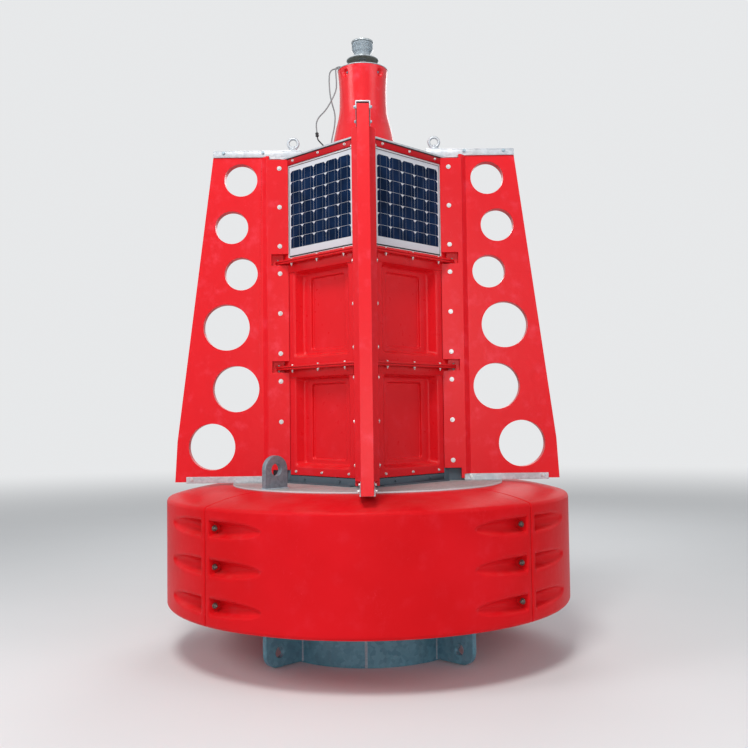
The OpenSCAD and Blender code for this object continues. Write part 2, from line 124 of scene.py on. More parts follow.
FLOAT_LOW, FLOAT_TOP = low("float_front").z, high("float_front").z
FLOAT_R, TUBE_R, DECK_R = high("float_right").x, high("tail_tube").x, high("deck_plate").x
DECK_TOP, TOWER_Z = high("deck_plate").z, high("base_angle").z
PACKED_LEG, LEG_DOWN = 0.096, {"lower": 0.079, "middle": 0.098}
RAIL_LOW, RAIL_HIGH = low("rails_lower").z + PACKED_LEG, low("rails_upper").z + PACKED_LEG
BAY_H, PACKED_FACE_R, FACE_R = 0.780, 0.457, 0.447
TOWER_TOP, PED_TOP = high("header").z, high("pedestal").z
CAP_TOP, BAR_TOP = low("pedestal").z, high("fin_front").z + 0.011
ROOT_HALF = 0.080
FACE_HALF = FACE_R - ROOT_HALF * sqrt(2)
print("levels: deck", round(DECK_TOP, 3), "tower", round(TOWER_Z, 3), "rails", round(RAIL_LOW, 3),
      round(RAIL_HIGH, 3), "top", round(TOWER_TOP, 3), "pedestal", round(PED_TOP, 3))


# %% Places on a face and at a corner
def corner_frame(angle):
    """Matrix from (outwards along the fin, across the fin, up) to the part's frame."""
    return Matrix.Rotation(radians(angle), 4, "Z")


def face_frame(angle):
    """Matrix from (along the face, inwards from the face, up) to the part's frame."""
    return corner_frame(angle) @ Matrix.Translation((0, -FACE_R, 0))


def aimed(start, end, axis="Z"):
    """Matrix at one place, with an axis towards another."""
    turn = (Vector(end) - Vector(start)).to_track_quat(axis, "Y").to_matrix().to_4x4()
    return Matrix.Translation(start) @ turn


def polar(radius, angle, z):
    return radius * cos(angle), radius * sin(angle), z


# %% [markdown]
# The camera stands about 6.7 m from the axis, at the height of a person's eyes, and looks
# up a little. Its place, tilt and lens come from a fit to some seventy points of the photo.

# %% Camera
CAMERA_PLACE = Vector((0.0114, -6.6922, 1.6464))
CAMERA_YAW, CAMERA_PITCH, CAMERA_ROLL = 0.0066, 0.0448, -0.0129
FOCAL_SHARE = 915.88 / 748
SENSOR = 36.0


def camera_turn(yaw, pitch, roll):
    """Rotation matrix of a camera that looks along +Y before it is turned."""
    forward = Vector((sin(yaw) * cos(pitch), cos(yaw) * cos(pitch), sin(pitch)))
    level = Vector((cos(yaw), -sin(yaw), 0))
    upright = level.cross(forward)
    right = cos(roll) * level + sin(roll) * upright
    return Matrix((right, right.cross(forward), -forward)).transposed()


camera_data = bpy.data.cameras.new("camera")
camera_data.sensor_width, camera_data.lens = SENSOR, SENSOR * FOCAL_SHARE
camera = bpy.data.objects.new("camera", camera_data)
camera.matrix_world = Matrix.Translation(CAMERA_PLACE) @ camera_turn(
    CAMERA_YAW, CAMERA_PITCH, CAMERA_ROLL).to_4x4()
scene.collection.objects.link(camera)
scene.camera = camera
print("camera: lens", round(camera_data.lens, 2), "mm at", tuple(CAMERA_PLACE))

# %% [markdown]
# ## Nodes from Python
#
# A material and a Geometry Nodes tree are both graphs of nodes. One class makes a node from
# its type, its settings and its sockets' values. A second wraps a socket, so that `1 - dirt`
# or `a * b + 0.2` adds the Math nodes by itself.


# %% Sockets that take part in arithmetic
class Flow:
    """A socket of a graph, on its way to the next node."""

    def __init__(self, graph, socket):
        self.graph, self.socket = graph, socket

    def maths(self, operation, *values):
        return self.graph.node("ShaderNodeMath", {"operation": operation}, dict(enumerate(values)))

    def __add__(self, other):
        return self.maths("ADD", self, other)

    __radd__ = __add__

    def __sub__(self, other):
        return self.maths("SUBTRACT", self, other)

    def __rsub__(self, other):
        return self.maths("SUBTRACT", other, self)

    def __mul__(self, other):
        return self.maths("MULTIPLY", self, other)

    def __pow__(self, other):
        return self.maths("POWER", self, other)

    def __abs__(self):
        return self.maths("ABSOLUTE", self)


# %% A graph of nodes
class Graph:
    """Makes nodes in a tree: first the settings, then the sockets."""

    def __init__(self, tree):
        self.tree = tree

    def node(self, kind, settings=None, inputs=None, output=0):
        made = self.tree.nodes.new(kind)
        for key, value in (settings or {}).items():
            if key == "stops":
                ramp = made.color_ramp.elements
                while len(ramp) < len(value):
                    ramp.new(0.5)
                for stop, (place, colour) in zip(ramp, value):
                    stop.position, stop.color = place, colour
            else:
                setattr(made, key, value)
        for key, value in (inputs or {}).items():
            if isinstance(value, Flow):
                self.tree.links.new(value.socket, made.inputs[key])
            else:
                made.inputs[key].default_value = value
        return Flow(self, made.outputs[output]) if len(made.outputs) else None

    def out(self, flow, output):
        """Another output of the node that a flow comes from."""
        return Flow(self, flow.socket.node.outputs[output])


# %% A material's graph
slot_names = {}


class Finish(Graph):
    """A material in the making. Patterns lie in the piece's own metres."""

    def __init__(self, name):
        self.material = bpy.data.materials.new(name)
        self.material.use_nodes = True
        slot_names[self.material] = name
        super().__init__(self.material.node_tree)
        self.tree.nodes.clear()
        self.place = self.node("ShaderNodeTexCoord", output="Object")

    def stretched(self, scale):
        return self.node("ShaderNodeMapping", inputs={"Vector": self.place, "Scale": scale})

    def noise(self, scale, detail=3.0, rough=0.55, bend=0.0, place=None):
        return self.node("ShaderNodeTexNoise", inputs={
            "Vector": place or self.place, "Scale": scale, "Detail": detail,
            "Roughness": rough, "Distortion": bend})

    def band(self, value, start, end, low=0.0, high=1.0):
        return self.node("ShaderNodeMapRange", {"interpolation_type": "SMOOTHSTEP"}, {
            "Value": value, "From Min": start, "From Max": end, "To Min": low, "To Max": high})

    def blend(self, first, second, share):
        return self.node("ShaderNodeMix", {"data_type": "RGBA"}, {0: share, 6: first, 7: second}, 2)

    def facing_up(self):
        normal = self.node("ShaderNodeNewGeometry", output="Normal")
        return self.node("ShaderNodeSeparateXYZ", inputs={0: normal}, output="Z")

    def bump(self, height, distance, strength=1.0, under=None):
        inputs = {"Height": height, "Distance": distance, "Strength": strength}
        if under:
            inputs["Normal"] = under
        return self.node("ShaderNodeBump", inputs=inputs)

    def surface(self, **sockets):
        shader = self.node("ShaderNodeBsdfPrincipled", inputs={
            key.replace("_", " "): value for key, value in sockets.items()})
        self.node("ShaderNodeOutputMaterial", inputs={"Surface": shader})
        return self.material


# %% [markdown]
# ## Finishes
#
# The red sections are rotationally moulded polyethylene. Such a skin has a satin gloss, a
# faint orange-peel from the mould's wall, slow changes of shade, scuffs from handling where
# the skin turns pale, and dust that settles on what faces up. One function makes them all,
# with another amount of wear for each kind of piece.


# %% Moulded red plastic
RED = (0.76, 0.011, 0.019, 1)
RED_DEEP = (0.60, 0.005, 0.008, 1)
# A darker red for the header: painted shade under the top plate's overhang
RED_HEADER_SHADE = (0.44, 0.004, 0.010, 1)
# A pale pink, for scuffs and for the pale clouds, which are partly painted sheen
RED_SCUFF_AND_SHEEN = (0.90, 0.095, 0.145, 1)
DUST = (0.46, 0.36, 0.31, 1)


def moulded(name, gloss=0.34, scuffs=0.5, dust=0.3, peel=1.0, deep=0.45, mottle_and_sheen=0.15, shine=0.25,
             tone=RED):
    f = Finish(name)
    slow, cloud = f.noise(1.7, 2.0), f.noise(9.0, 4.0, 0.6)
    colour = f.blend(tone, RED_DEEP, f.band(slow, 0.3, 0.75, deep * 0.5, deep))
    # Pale clouds: partly a mottled tone, partly painted sheen of reflected light on the satin skin
    colour = f.blend(colour, RED_SCUFF_AND_SHEEN, f.band(cloud, 0.5, 0.85) * mottle_and_sheen)
    lines = abs(f.noise(26.0, 1.5, 0.5, 1.6, f.stretched((1.0, 1.0, 0.45))) - 0.5)
    rubbed = f.band(f.noise(3.4, 3.0, 0.6), 0.52, 0.72)
    scratch = (1 - f.band(lines, 0.0, 0.006)) * rubbed * scuffs
    smear = f.band(f.noise(14.0, 5.0, 0.7, 0.4, f.stretched((1.0, 1.0, 0.5))), 0.56, 0.78) * rubbed
    colour = f.blend(colour, RED_SCUFF_AND_SHEEN, scratch * 0.7 + smear * scuffs * 0.35)
    settled = f.band(f.facing_up(), 0.35, 0.95) * f.band(f.noise(6.0, 5.0, 0.65), 0.35, 0.8)
    colour = f.blend(colour, DUST, settled * dust)
    rough = gloss + f.noise(22.0, 4.0) * 0.10 + smear * 0.14 + settled * dust * 0.35
    skin = f.bump(f.noise(150.0, 2.0, 0.5), 0.0009 * peel, 0.5)
    skin = f.bump(f.noise(24.0, 3.0, 0.5), 0.0035 * peel, 0.35, skin)
    if scuffs > 0.1:
        skin = f.bump(scratch, -0.0006, 0.6, skin)
    return f.surface(Base_Color=colour, Roughness=rough, Normal=skin, Specular_IOR_Level=shine)


red_float = moulded("red_float", gloss=0.32, scuffs=0.45, dust=0.07, deep=0.9, mottle_and_sheen=0.10, shine=0.06)
red_panel = moulded("red_panel", gloss=0.24, scuffs=0.08, dust=0.15, peel=0.6, shine=0.2)
# The rails' mostly deep red is partly painted shade under their lips
red_rail = moulded("red_rail", gloss=0.24, scuffs=0.05, dust=0.04, peel=0.05, deep=0.9, mottle_and_sheen=0.0,
                   shine=0.3)
# The header's dark tone is painted shade from the top plate above it
red_header = moulded("red_header", gloss=0.30, scuffs=0.05, dust=0.02, peel=0.05, deep=0.0, mottle_and_sheen=0.0,
                     shine=0.15, tone=RED_HEADER_SHADE)
red_fin = moulded("red_fin", gloss=0.28, scuffs=0.55, dust=0.10, deep=0.25, mottle_and_sheen=0.42, shine=0.22)
red_pedestal = moulded("red_pedestal", gloss=0.20, scuffs=0.30, dust=0.10, peel=0.6, deep=0.1, mottle_and_sheen=0.7,
                       shine=0.36)
print("red mouldings: 6 finishes")

# %% [markdown]
# Hot-dip galvanising leaves flat crystals of zinc, each with its own shade, and it dulls to a
# blue-grey. Voronoi cells stand for the crystals, and stretched noise for runs and stains.


# %% Galvanised steel
def galvanised(name, shade, dull, stain=(0.20, 0.17, 0.14, 1), stained=0.3, metal=0.55, crystal=55.0,
               rough=0.42, painted_lit_edge=False):
    f = Finish(name)
    cell = f.node("ShaderNodeTexVoronoi", inputs={"Vector": f.place, "Scale": crystal})
    shades = f.node("ShaderNodeSeparateColor", inputs={0: f.out(cell, "Color")})
    weather = f.noise(5.0, 5.0, 0.62)
    colour = f.blend(shade, dull, shades * 0.55 + f.band(weather, 0.3, 0.75) * 0.35)
    runs = f.band(f.noise(7.0, 4.0, 0.6, 0.3, f.stretched((1.0, 1.0, 0.22))), 0.52, 0.78)
    spots = f.band(f.noise(38.0, 3.0, 0.6), 0.66, 0.78)
    marks = (runs * 0.8 + spots * 0.6) * stained
    colour = f.blend(colour, stain, marks)
    bloom = f.band(f.noise(18.0, 5.0, 0.7), 0.6, 0.85)
    colour = f.blend(colour, (0.72, 0.74, 0.75, 1), bloom * 0.25)
    if painted_lit_edge:
        # Painted highlight: faces that don't face up, such as the plate's rim, are drawn lighter as if
        # they caught the light
        flat = f.band(f.facing_up(), 0.3, 0.8)
        colour = f.blend((0.62, 0.64, 0.66, 1), colour, flat * 0.8 + 0.2)
    skin = f.bump(f.noise(90.0, 3.0), 0.0006, 0.6)
    return f.surface(Base_Color=colour, Metallic=metal - marks * 0.4 - bloom * 0.25,
                     Roughness=rough + shades * 0.10 + marks * 0.25, Normal=skin)


bright_zinc = galvanised("bright_zinc", (0.56, 0.59, 0.62, 1), (0.38, 0.41, 0.45, 1), stained=0.3)
dull_zinc = galvanised("dull_zinc", (0.17, 0.43, 0.54, 1), (0.08, 0.25, 0.34, 1),
                       stain=(0.05, 0.08, 0.10, 1), stained=0.45, metal=0.2, crystal=38.0)
# The deck's rim gets a painted highlight
deck_zinc = galvanised("deck_zinc", (0.44, 0.50, 0.50, 1), (0.26, 0.30, 0.30, 1),
                       stain=(0.20, 0.18, 0.15, 1), stained=0.6, metal=0.3, rough=0.5,
                       painted_lit_edge=True)
eye_zinc = galvanised("eye_zinc", (0.23, 0.29, 0.33, 1), (0.13, 0.17, 0.21, 1),
                      stain=(0.09, 0.10, 0.11, 1), stained=0.35, metal=0.25)
bolt_zinc = galvanised("bolt_zinc", (0.70, 0.72, 0.72, 1), (0.52, 0.54, 0.53, 1), stained=0.2,
                       metal=0.45, crystal=300.0, rough=0.32)
dark_bolt = galvanised("dark_bolt", (0.22, 0.22, 0.20, 1), (0.10, 0.10, 0.09, 1), stained=0.3,
                       metal=0.5, crystal=300.0, rough=0.3)
weld_zinc = galvanised("weld_zinc", (0.42, 0.55, 0.62, 1), (0.30, 0.40, 0.46, 1), stained=0.2,
                       crystal=120.0)
print("steel: 7 finishes")

# %% [markdown]
# The tower's foot is a painted angle, the solar frames are anodised aluminium, and the rest
# is small: rubber leads, black plastic, a clear lens and the lamp inside it.


# %% Paint, aluminium, plastics and glass
def painted(name, shade, worn, rough=0.55, grain=60.0, spread=0.35):
    f = Finish(name)
    wear = f.band(f.noise(11.0, 5.0, 0.65), 0.48, 0.8)
    fine = f.noise(grain, 3.0, 0.6)
    colour = f.blend(shade, worn, wear * spread + fine * 0.12)
    return f.surface(Base_Color=colour, Roughness=rough + fine * 0.12 + wear * 0.08,
                     Normal=f.bump(fine, 0.0004, 0.5))


def anodised(name, shade, rough=0.34):
    f = Finish(name)
    grain = f.noise(260.0, 2.0, 0.5, 0.0, f.stretched((1.0, 1.0, 0.06)))
    smear = f.band(f.noise(8.0, 4.0, 0.6), 0.45, 0.8)
    colour = f.blend(shade, (0.50, 0.52, 0.54, 1), smear * 0.3 + grain * 0.15)
    return f.surface(Base_Color=colour, Metallic=0.75 - smear * 0.2, Roughness=rough + grain * 0.12,
                     Normal=f.bump(grain, 0.0002, 0.4))


def clear(name):
    f = Finish(name)
    cloud = f.band(f.noise(16.0, 3.0), 0.4, 0.8)
    colour = f.blend((0.50, 0.58, 0.64, 1), (0.30, 0.37, 0.42, 1), cloud * 0.6)
    return f.surface(Base_Color=colour, Roughness=0.10 + cloud * 0.12, Transmission_Weight=0.45,
                     IOR=1.49)


dark_steel = painted("dark_steel", (0.050, 0.075, 0.098, 1), (0.13, 0.16, 0.18, 1))
solar_alloy = anodised("solar_alloy", (0.80, 0.82, 0.85, 1))
lantern_alloy = anodised("lantern_alloy", (0.40, 0.44, 0.46, 1), 0.28)
backsheet = painted("backsheet", (0.60, 0.63, 0.68, 1), (0.50, 0.52, 0.56, 1), 0.25, 40.0, 0.2)
black_plastic = painted("black_plastic", (0.012, 0.012, 0.014, 1), (0.05, 0.05, 0.05, 1), 0.45)
# Painted shade: the dish's underside is drawn dark olive, as if in shadow
dark_lining = painted("dark_lining", (0.20, 0.205, 0.17, 1), (0.28, 0.27, 0.23, 1), 0.6)
gasket_rubber = painted("gasket_rubber", (0.010, 0.011, 0.012, 1), (0.04, 0.04, 0.04, 1), 0.7)
grey_lead = painted("grey_lead", (0.20, 0.21, 0.22, 1), (0.30, 0.30, 0.31, 1), 0.45)
dark_lead = painted("dark_lead", (0.03, 0.03, 0.033, 1), (0.09, 0.09, 0.09, 1), 0.5)
white_lamp = painted("white_lamp", (0.70, 0.72, 0.72, 1), (0.50, 0.52, 0.53, 1), 0.3)
bus_metal = painted("bus_metal", (0.15, 0.18, 0.23, 1), (0.11, 0.13, 0.17, 1), 0.4)
clear_lens = clear("clear_lens")
print("small parts: 12 finishes")


# %% Solar cells under glass
def cell_glass(name):
    """Blue-black silicon, with the smooth gloss of the sheet over it."""
    f = Finish(name)
    patch = f.noise(7.0, 2.0)
    grain = f.noise(300.0, 2.0)
    colour = f.blend((0.002, 0.009, 0.030, 1), (0.007, 0.024, 0.075, 1),
                     f.band(patch, 0.3, 0.7) * 0.7 + grain * 0.2)
    film = f.band(f.noise(12.0, 5.0, 0.65), 0.5, 0.85)
    return f.surface(Base_Color=colour, Roughness=0.14 + film * 0.15, Specular_IOR_Level=0.03)


solar_cells = cell_glass("solar_cells")

# %% [markdown]
# ## Helpers for meshes
#
# A piece is made in handy local axes, turned to its place in the mesh itself, and then it
# rides on the part's one body. Its object stays at the origin.


# %% Pieces from points and faces
def shown(name, data):
    """A new object in the scene for a mesh, a curve or a lamp."""
    piece = bpy.data.objects.new(name, data)
    scene.collection.objects.link(piece)
    return piece


def mesh_object(name, points, faces=(), place=None, edges=()):
    """A new object whose mesh has these points, turned by a place matrix."""
    mesh = bpy.data.meshes.new(name)
    mesh.from_pydata([tuple(p) for p in points], edges, [tuple(f) for f in faces])
    if place is not None:
        mesh.transform(place)
    mesh.update()
    return shown(name, mesh)


def recalculated(piece, merge=1e-5):
    """Merges doubles and turns all faces outwards."""
    work = bmesh.new()
    work.from_mesh(piece.data)
    bmesh.ops.remove_doubles(work, verts=work.verts, dist=merge)
    bmesh.ops.recalc_face_normals(work, faces=work.faces)
    work.to_mesh(piece.data)
    work.free()
    return piece


def baked(piece):
    """Turns the modifiers' result into the piece's own plain mesh."""
    graph = bpy.context.evaluated_depsgraph_get()
    result = bpy.data.meshes.new_from_object(piece.evaluated_get(graph), depsgraph=graph)
    piece.modifiers.clear()
    piece.data = result
    return piece


def bevelled(piece, width):
    """Rounds the sharp edges of plain sheets."""
    edges = piece.modifiers.new("edges", "BEVEL")
    edges.width, edges.segments, edges.angle_limit = width, 2, radians(60)
    return baked(piece)


def all_smooth(piece):
    polygons = piece.data.polygons
    polygons.foreach_set("use_smooth", [True] * len(polygons))


def smoothed(piece, angle=35.0):
    """Smooth shading, with edges sharper than the angle kept hard."""
    all_smooth(piece)
    piece.data.set_sharp_from_angle(angle=radians(angle))
    return piece


def joined(name, parts):
    """One object from several, as one mesh."""
    work = bmesh.new()
    for part in parts:
        work.from_mesh(part.data)
        bpy.data.objects.remove(part)
    mesh = bpy.data.meshes.new(name)
    work.to_mesh(mesh)
    work.free()
    return shown(name, mesh)


def dressed(piece, material, replaced=(), slot=None):
    """Gives a piece its finish and its body, and hides the nodes that it stands for. Its slot is not
    used.
    """
    piece.data.materials.clear()
    piece.data.materials.append(material)
    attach(piece, "root")
    slot or slot_names[material]
    if replaced:
        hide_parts(*replaced)
    return piece


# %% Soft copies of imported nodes
LONG_EDGE, SHARP_ANGLE, FLAT_ANGLE = 0.12, radians(32), radians(0.6)


def softened(node, width, segments=2, long_share=None, moved=None):
    """A merged copy of a node with rounded edges. Short edges may get a share of the width."""
    piece = shown(node + "_soft", nodes[node].data.copy())
    work = bmesh.new()
    work.from_mesh(piece.data)
    for vert in work.verts if moved else ():
        vert.co = moved(vert.co)
    bmesh.ops.remove_doubles(work, verts=work.verts, dist=2e-5)
    bmesh.ops.dissolve_limit(work, angle_limit=FLAT_ANGLE, verts=work.verts, edges=work.edges)
    if long_share:
        weight = work.edges.layers.float.new("bevel_weight_edge")
        for edge in work.edges:
            sharp = len(edge.link_faces) == 2 and edge.calc_face_angle(0) > SHARP_ANGLE
            edge[weight] = (1.0 if edge.calc_length() > LONG_EDGE else long_share) if sharp else 0.0
    work.to_mesh(piece.data)
    work.free()
    bevel = piece.modifiers.new("edges", "BEVEL")
    bevel.width, bevel.segments, bevel.angle_limit = width, segments, SHARP_ANGLE
    bevel.limit_method, bevel.miter_outer = "WEIGHT" if long_share else "ANGLE", "MITER_ARC"
    piece.modifiers.new("flats", "WEIGHTED_NORMAL").keep_sharp = True
    all_smooth(piece)
    return baked(piece)


def soft_copies(prefix, places, width, material, slot=None):
    """Softened copies of like nodes, one for each place."""
    for place in places:
        dressed(softened(prefix + place, width), material, [prefix + place], slot)


# %% Skins through rings
def skin(name, rings, place=None, loop=False, ends=(True, True)):
    """A skin through rings of equally many points. It ends in caps or goes on in a loop."""
    count, last = len(rings[0]), len(rings) - 1
    pairs = [(i, i + 1) for i in range(last)] + [(last, 0)] * loop
    faces = [(i * count + k, i * count + (k + 1) % count, j * count + (k + 1) % count, j * count + k)
             for i, j in pairs for k in range(count)]
    if ends[0]:
        faces.append(reversed(range(count)))
    if ends[1]:
        faces.append(range(last * count, (last + 1) * count))
    return mesh_object(name, [p for ring in rings for p in ring], faces, place)


def turned(name, profile, steps=64, place=None, loop=False):
    """A profile of (radius, height) points, spun round the axis."""
    angles = [2 * pi * k / steps for k in range(steps)]
    rings = [[polar(r, a, z) for a in angles] for r, z in profile]
    return skin(name, rings, place, loop, [not loop and profile[i][0] > 0 for i in (0, -1)])


def slab(name, outline, low_z, high_z, place=None):
    """A flat outline in x and y, solid between two levels."""
    return skin(name, [[(x, y, z) for x, y in outline] for z in (low_z, high_z)], place)


def oblong(x0, x1, y0, y1):
    return [(x0, y0), (x1, y0), (x1, y1), (x0, y1)]


BOX_FACES = [(0, 1, 3, 2), (4, 6, 7, 5), (0, 4, 5, 1), (2, 3, 7, 6), (0, 2, 6, 4), (1, 5, 7, 3)]


def sheet(x0, x1, y0, y1, z0, z1):
    """A plain box, as a part of a larger piece."""
    points = [(x, y, z) for x in (x0, x1) for y in (y0, y1) for z in (z0, z1)]
    return mesh_object("sheet", points, BOX_FACES)


def repeated(parts_of, frames):
    """The parts that a function makes, once in each of several frames."""
    parts = []
    for m in frames:
        for part in parts_of():
            part.data.transform(m)
            parts.append(part)
    return parts


# %% [markdown]
# ## Leads
#
# Two thin leads hang beside the pedestal, from the lantern's foot to the top plate. Each is
# a smooth curve through listed points. A Catmull-Rom curve passes through its points,
# so the lead meets its gland exactly. One lead has a joint near its lower end, where a crimped
# sleeve covers the splice.

# %% Routes of the leads
LEAD_R = 0.005
SHORT = [(-118, -60, 676), (-150, -60, 676), (-184, -62, 673), (-198, -64, 648), (-194, -68, 518),
         (-228, -72, 428), (-276, -76, 348), (-322, -78, 298), (-343, -78, 250), (-340, -76, 185)]
TAIL = [(-337, -74, 151), (-331, -73, 130), (-310, -70, 106), (-282, -68, 74), (-270, -66, 24)]
LONG = [(-118, -30, 676), (-150, -30, 676), (-222, -30, 668), (-247, -32, 618), (-243, -34, 488),
        (-230, -36, 418), (-208, -40, 328), (-212, -46, 238), (-232, -50, 138), (-246, -52, 24)]


def spot(place):
    """A place in millimetres, with its height above the top plate, in the part's frame."""
    return Vector(place) * MM + Vector((0, 0, CAP_TOP))


def route(points, spans=3):
    """Points along the Catmull-Rom curve through a list of places."""
    p = [spot(q) for q in points]
    last = len(p) - 1
    line = []
    for i in range(last):
        a, b, c, d = p[max(i - 1, 0)], p[i], p[i + 1], p[min(i + 2, last)]
        for k in range(spans):
            t = k / spans
            line.append(0.5 * (2 * b + (c - a) * t + (2 * a - 5 * b + 4 * c - d) * t * t
                               + (3 * b - a - 3 * c + d) * t ** 3))
    return line + [p[last]]


def lead(name, points, material, node):
    line = route(points)
    curve = bpy.data.curves.new(name, "CURVE")
    curve.dimensions, curve.bevel_depth, curve.bevel_resolution = "3D", LEAD_R, 3
    curve.use_fill_caps = True
    spline = curve.splines.new("POLY")
    spline.points.add(len(line) - 1)
    for point, place in zip(spline.points, line):
        point.co = (*place, 1)
    piece = dressed(shown(name, curve), material, [node])
    length = sum((b - a).length for a, b in zip(line, line[1:]))
    tuple(line[0])
    print(name, round(length, 3), "m")


# %% The joint in the short lead
JOINT_R, LEAD_GAP = 0.013, 0.0007
joint_from, joint_to = spot(SHORT[-1]), spot(TAIL[0])
joint_span = (joint_to - joint_from).length
sleeve = [(LEAD_R * 1.1, LEAD_GAP), (JOINT_R * 0.75, 0.0025), (JOINT_R, 0.006), (JOINT_R, 0.0115),
          (JOINT_R * 0.88, 0.013), (JOINT_R * 0.88, 0.015)]
sleeve += [(r, joint_span - z) for r, z in reversed(sleeve)]
joint = smoothed(turned("lead_joint_sleeve", sleeve, 24, aimed(joint_from, joint_to)), 40)
dressed(joint, black_plastic, ["lead_joint"])
lead("signal_lead", SHORT, grey_lead, "lead_short")
lead("signal_lead_tail", TAIL, dark_lead, "lead_tail")
lead("supply_lead", LONG, grey_lead, "lead_long")

# %% [markdown]
# Each lead goes through a cable gland: a hexagonal body, and a domed nut with a seal that
# closes on the lead. The body has six sides and the nut is turned, so they are two spun
# profiles, made with 6 and with 24 steps.

# %% Cable glands
GLAND_UP, GLAND_SIDE = 0.011, 0.009
BASE_RING_R = 0.104


def gland(start, end, radius):
    place = aimed(start, end)
    span = (end - start).length
    nut = [(radius * 0.98, 0), (radius, 0.001), (radius, span * 0.42), (radius * 0.94, span * 0.46)]
    dome = [(radius * 0.80, span * 0.40), (radius * 0.86, span * 0.52), (radius * 0.84, span * 0.80),
            (radius * 0.66, span * 0.94), (LEAD_R * 1.15, span - LEAD_GAP)]
    return [turned("nut", nut, 6, place), turned("dome", dome, 24, place)]


glands = []
for end in (TAIL[-1], LONG[-1]):
    top = spot(end)
    glands += gland(Vector((top.x, top.y, CAP_TOP)), top, GLAND_UP)
for begin in (SHORT[0], LONG[0]):
    tip = spot(begin)
    wall = -sqrt(BASE_RING_R ** 2 - tip.y ** 2) - 0.0004
    glands += gland(Vector((wall, tip.y, tip.z)), tip, GLAND_SIDE)
dressed(smoothed(joined("cable_glands", glands)), black_plastic, ["lead_glands"])

# %% [markdown]
# ## Floor and light
#
# A plain pale floor takes the buoy's shadow and fades into the background with distance. The
# light is soft and comes from the front and the left: a big lamp high over the viewer's head,
# one behind the viewer, one at the left as from a window, a weak fill on the right, one at the
# back and an even sky. What the camera and the reflections see of the sky is pale too.

# %% Floor
PALE = (0.80, 0.81, 0.82, 1)


def floor_finish():
    f = Finish("floor")
    parts = f.node("ShaderNodeSeparateXYZ", inputs={0: f.place})
    distance = (parts * parts + f.out(parts, "Y") * f.out(parts, "Y")) ** 0.5
    cloud = f.noise(0.8, 4.0)
    colour = f.blend(PALE, (0.74, 0.75, 0.76, 1), cloud * 0.5)
    lit = f.node("ShaderNodeBsdfPrincipled", inputs={"Base Color": colour, "Roughness": 0.9})
    far = f.node("ShaderNodeEmission", inputs={"Color": PALE, "Strength": 1.0})
    seen = f.node("ShaderNodeLightPath", output="Is Camera Ray")
    share = f.band(distance, 5.0, 24.0) * seen
    mixed = f.node("ShaderNodeMixShader", inputs={0: share, 1: lit, 2: far})
    f.node("ShaderNodeOutputMaterial", inputs={"Surface": mixed})
    return f.material


floor = mesh_object("floor", [(-60, -60, 0), (60, -60, 0), (60, 60, 0), (-60, 60, 0)], [(0, 1, 2, 3)])
floor.data.materials.append(floor_finish())
floor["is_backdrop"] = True


# %% Sky
def sky(lit, strength):
    world = bpy.data.worlds.new("sky")
    world.use_nodes = True
    g = Graph(world.node_tree)
    g.tree.nodes.clear()
    path = g.node("ShaderNodeLightPath", output="Is Camera Ray")
    glossy, through = g.out(path, "Is Glossy Ray"), g.out(path, "Is Transmission Ray")
    seen = path.maths("MAXIMUM", path.maths("MAXIMUM", path, glossy), through)
    light = g.node("ShaderNodeBackground", inputs={"Color": lit, "Strength": strength})
    shown = g.node("ShaderNodeBackground", inputs={"Color": PALE, "Strength": 1.0})
    mixed = g.node("ShaderNodeMixShader", inputs={0: seen, 1: light, 2: shown})
    g.node("ShaderNodeOutputWorld", inputs={"Surface": mixed})
    scene.world = world


sky((0.90, 0.95, 1.0, 1), 0.27)


# %% Lamps
def lamp(name, place, aim, size, power, colour=(1, 1, 1)):
    data = bpy.data.lights.new(name, "AREA")
    data.shape, data.size, data.energy, data.color = "DISK", size, power, colour
    shown(name, data).matrix_world = aimed(place, aim, "-Z")


lamp("sun_side", (-1.5, -6.6, 10.2), (0, 0, 2.4), 3.2, 640, (1.0, 0.98, 0.95))
lamp("front_side", (0.6, -9.6, 3.0), (0, 0, 2.2), 3.0, 135, (1.0, 0.98, 0.97))
lamp("window_side", (-7.0, -4.0, 5.5), (0, 0, 2.4), 3.5, 200, (0.97, 0.98, 1.0))
lamp("fill_side", (6.5, -5.5, 5.0), (0, 0, 2.4), 5.0, 130, (0.92, 0.96, 1.0))
lamp("back_side", (1.5, 8.0, 7.0), (0, 0, 2.4), 6.0, 260)
print("stage: floor, sky and 5 lamps")

# %% [markdown]
# ## Geometry Nodes for what repeats
#
# The buoy has some 250 bolts and nuts, four metres of weld and 140 solar cells. Each kind is one
# small tree. A tree takes points or a line, puts a small mesh on every point, makes the
# instances real and gives them their material. The result is baked into a plain mesh.


# %% A tree and its sockets
class Grower(Graph):
    """A Geometry Nodes tree with named inputs for its sizes."""

    def __init__(self, name, sockets):
        super().__init__(bpy.data.node_groups.new(name, "GeometryNodeTree"))
        face = self.tree.interface
        face.new_socket("Geometry", in_out="INPUT", socket_type="NodeSocketGeometry")
        self.ids = {}
        for label, (kind, value) in sockets.items():
            made = face.new_socket(label, in_out="INPUT", socket_type="NodeSocket" + kind)
            if value is not None:
                made.default_value = value
            self.ids[label] = made.identifier
        face.new_socket("Geometry", in_out="OUTPUT", socket_type="NodeSocketGeometry")
        self.start = self.tree.nodes.new("NodeGroupInput")

    def given(self, label):
        return Flow(self, self.start.outputs[label])

    def finish(self, geometry):
        """Makes the instances real, sets the material and ends the tree."""
        real = self.node("GeometryNodeRealizeInstances", inputs={0: geometry})
        dyed = self.node("GeometryNodeSetMaterial", inputs={0: real, 2: self.given("Material")})
        self.node("NodeGroupOutput", inputs={0: dyed})
        return self

    def grow(self, piece, values):
        """Runs the tree on a piece and keeps the result as its plain mesh."""
        modifier = piece.modifiers.new(self.tree.name, "NODES")
        modifier.node_group = self.tree
        for label, value in values.items():
            modifier[self.ids[label]] = value
        return baked(piece)


# %% Bolts on points
BOLT_SEED = 3


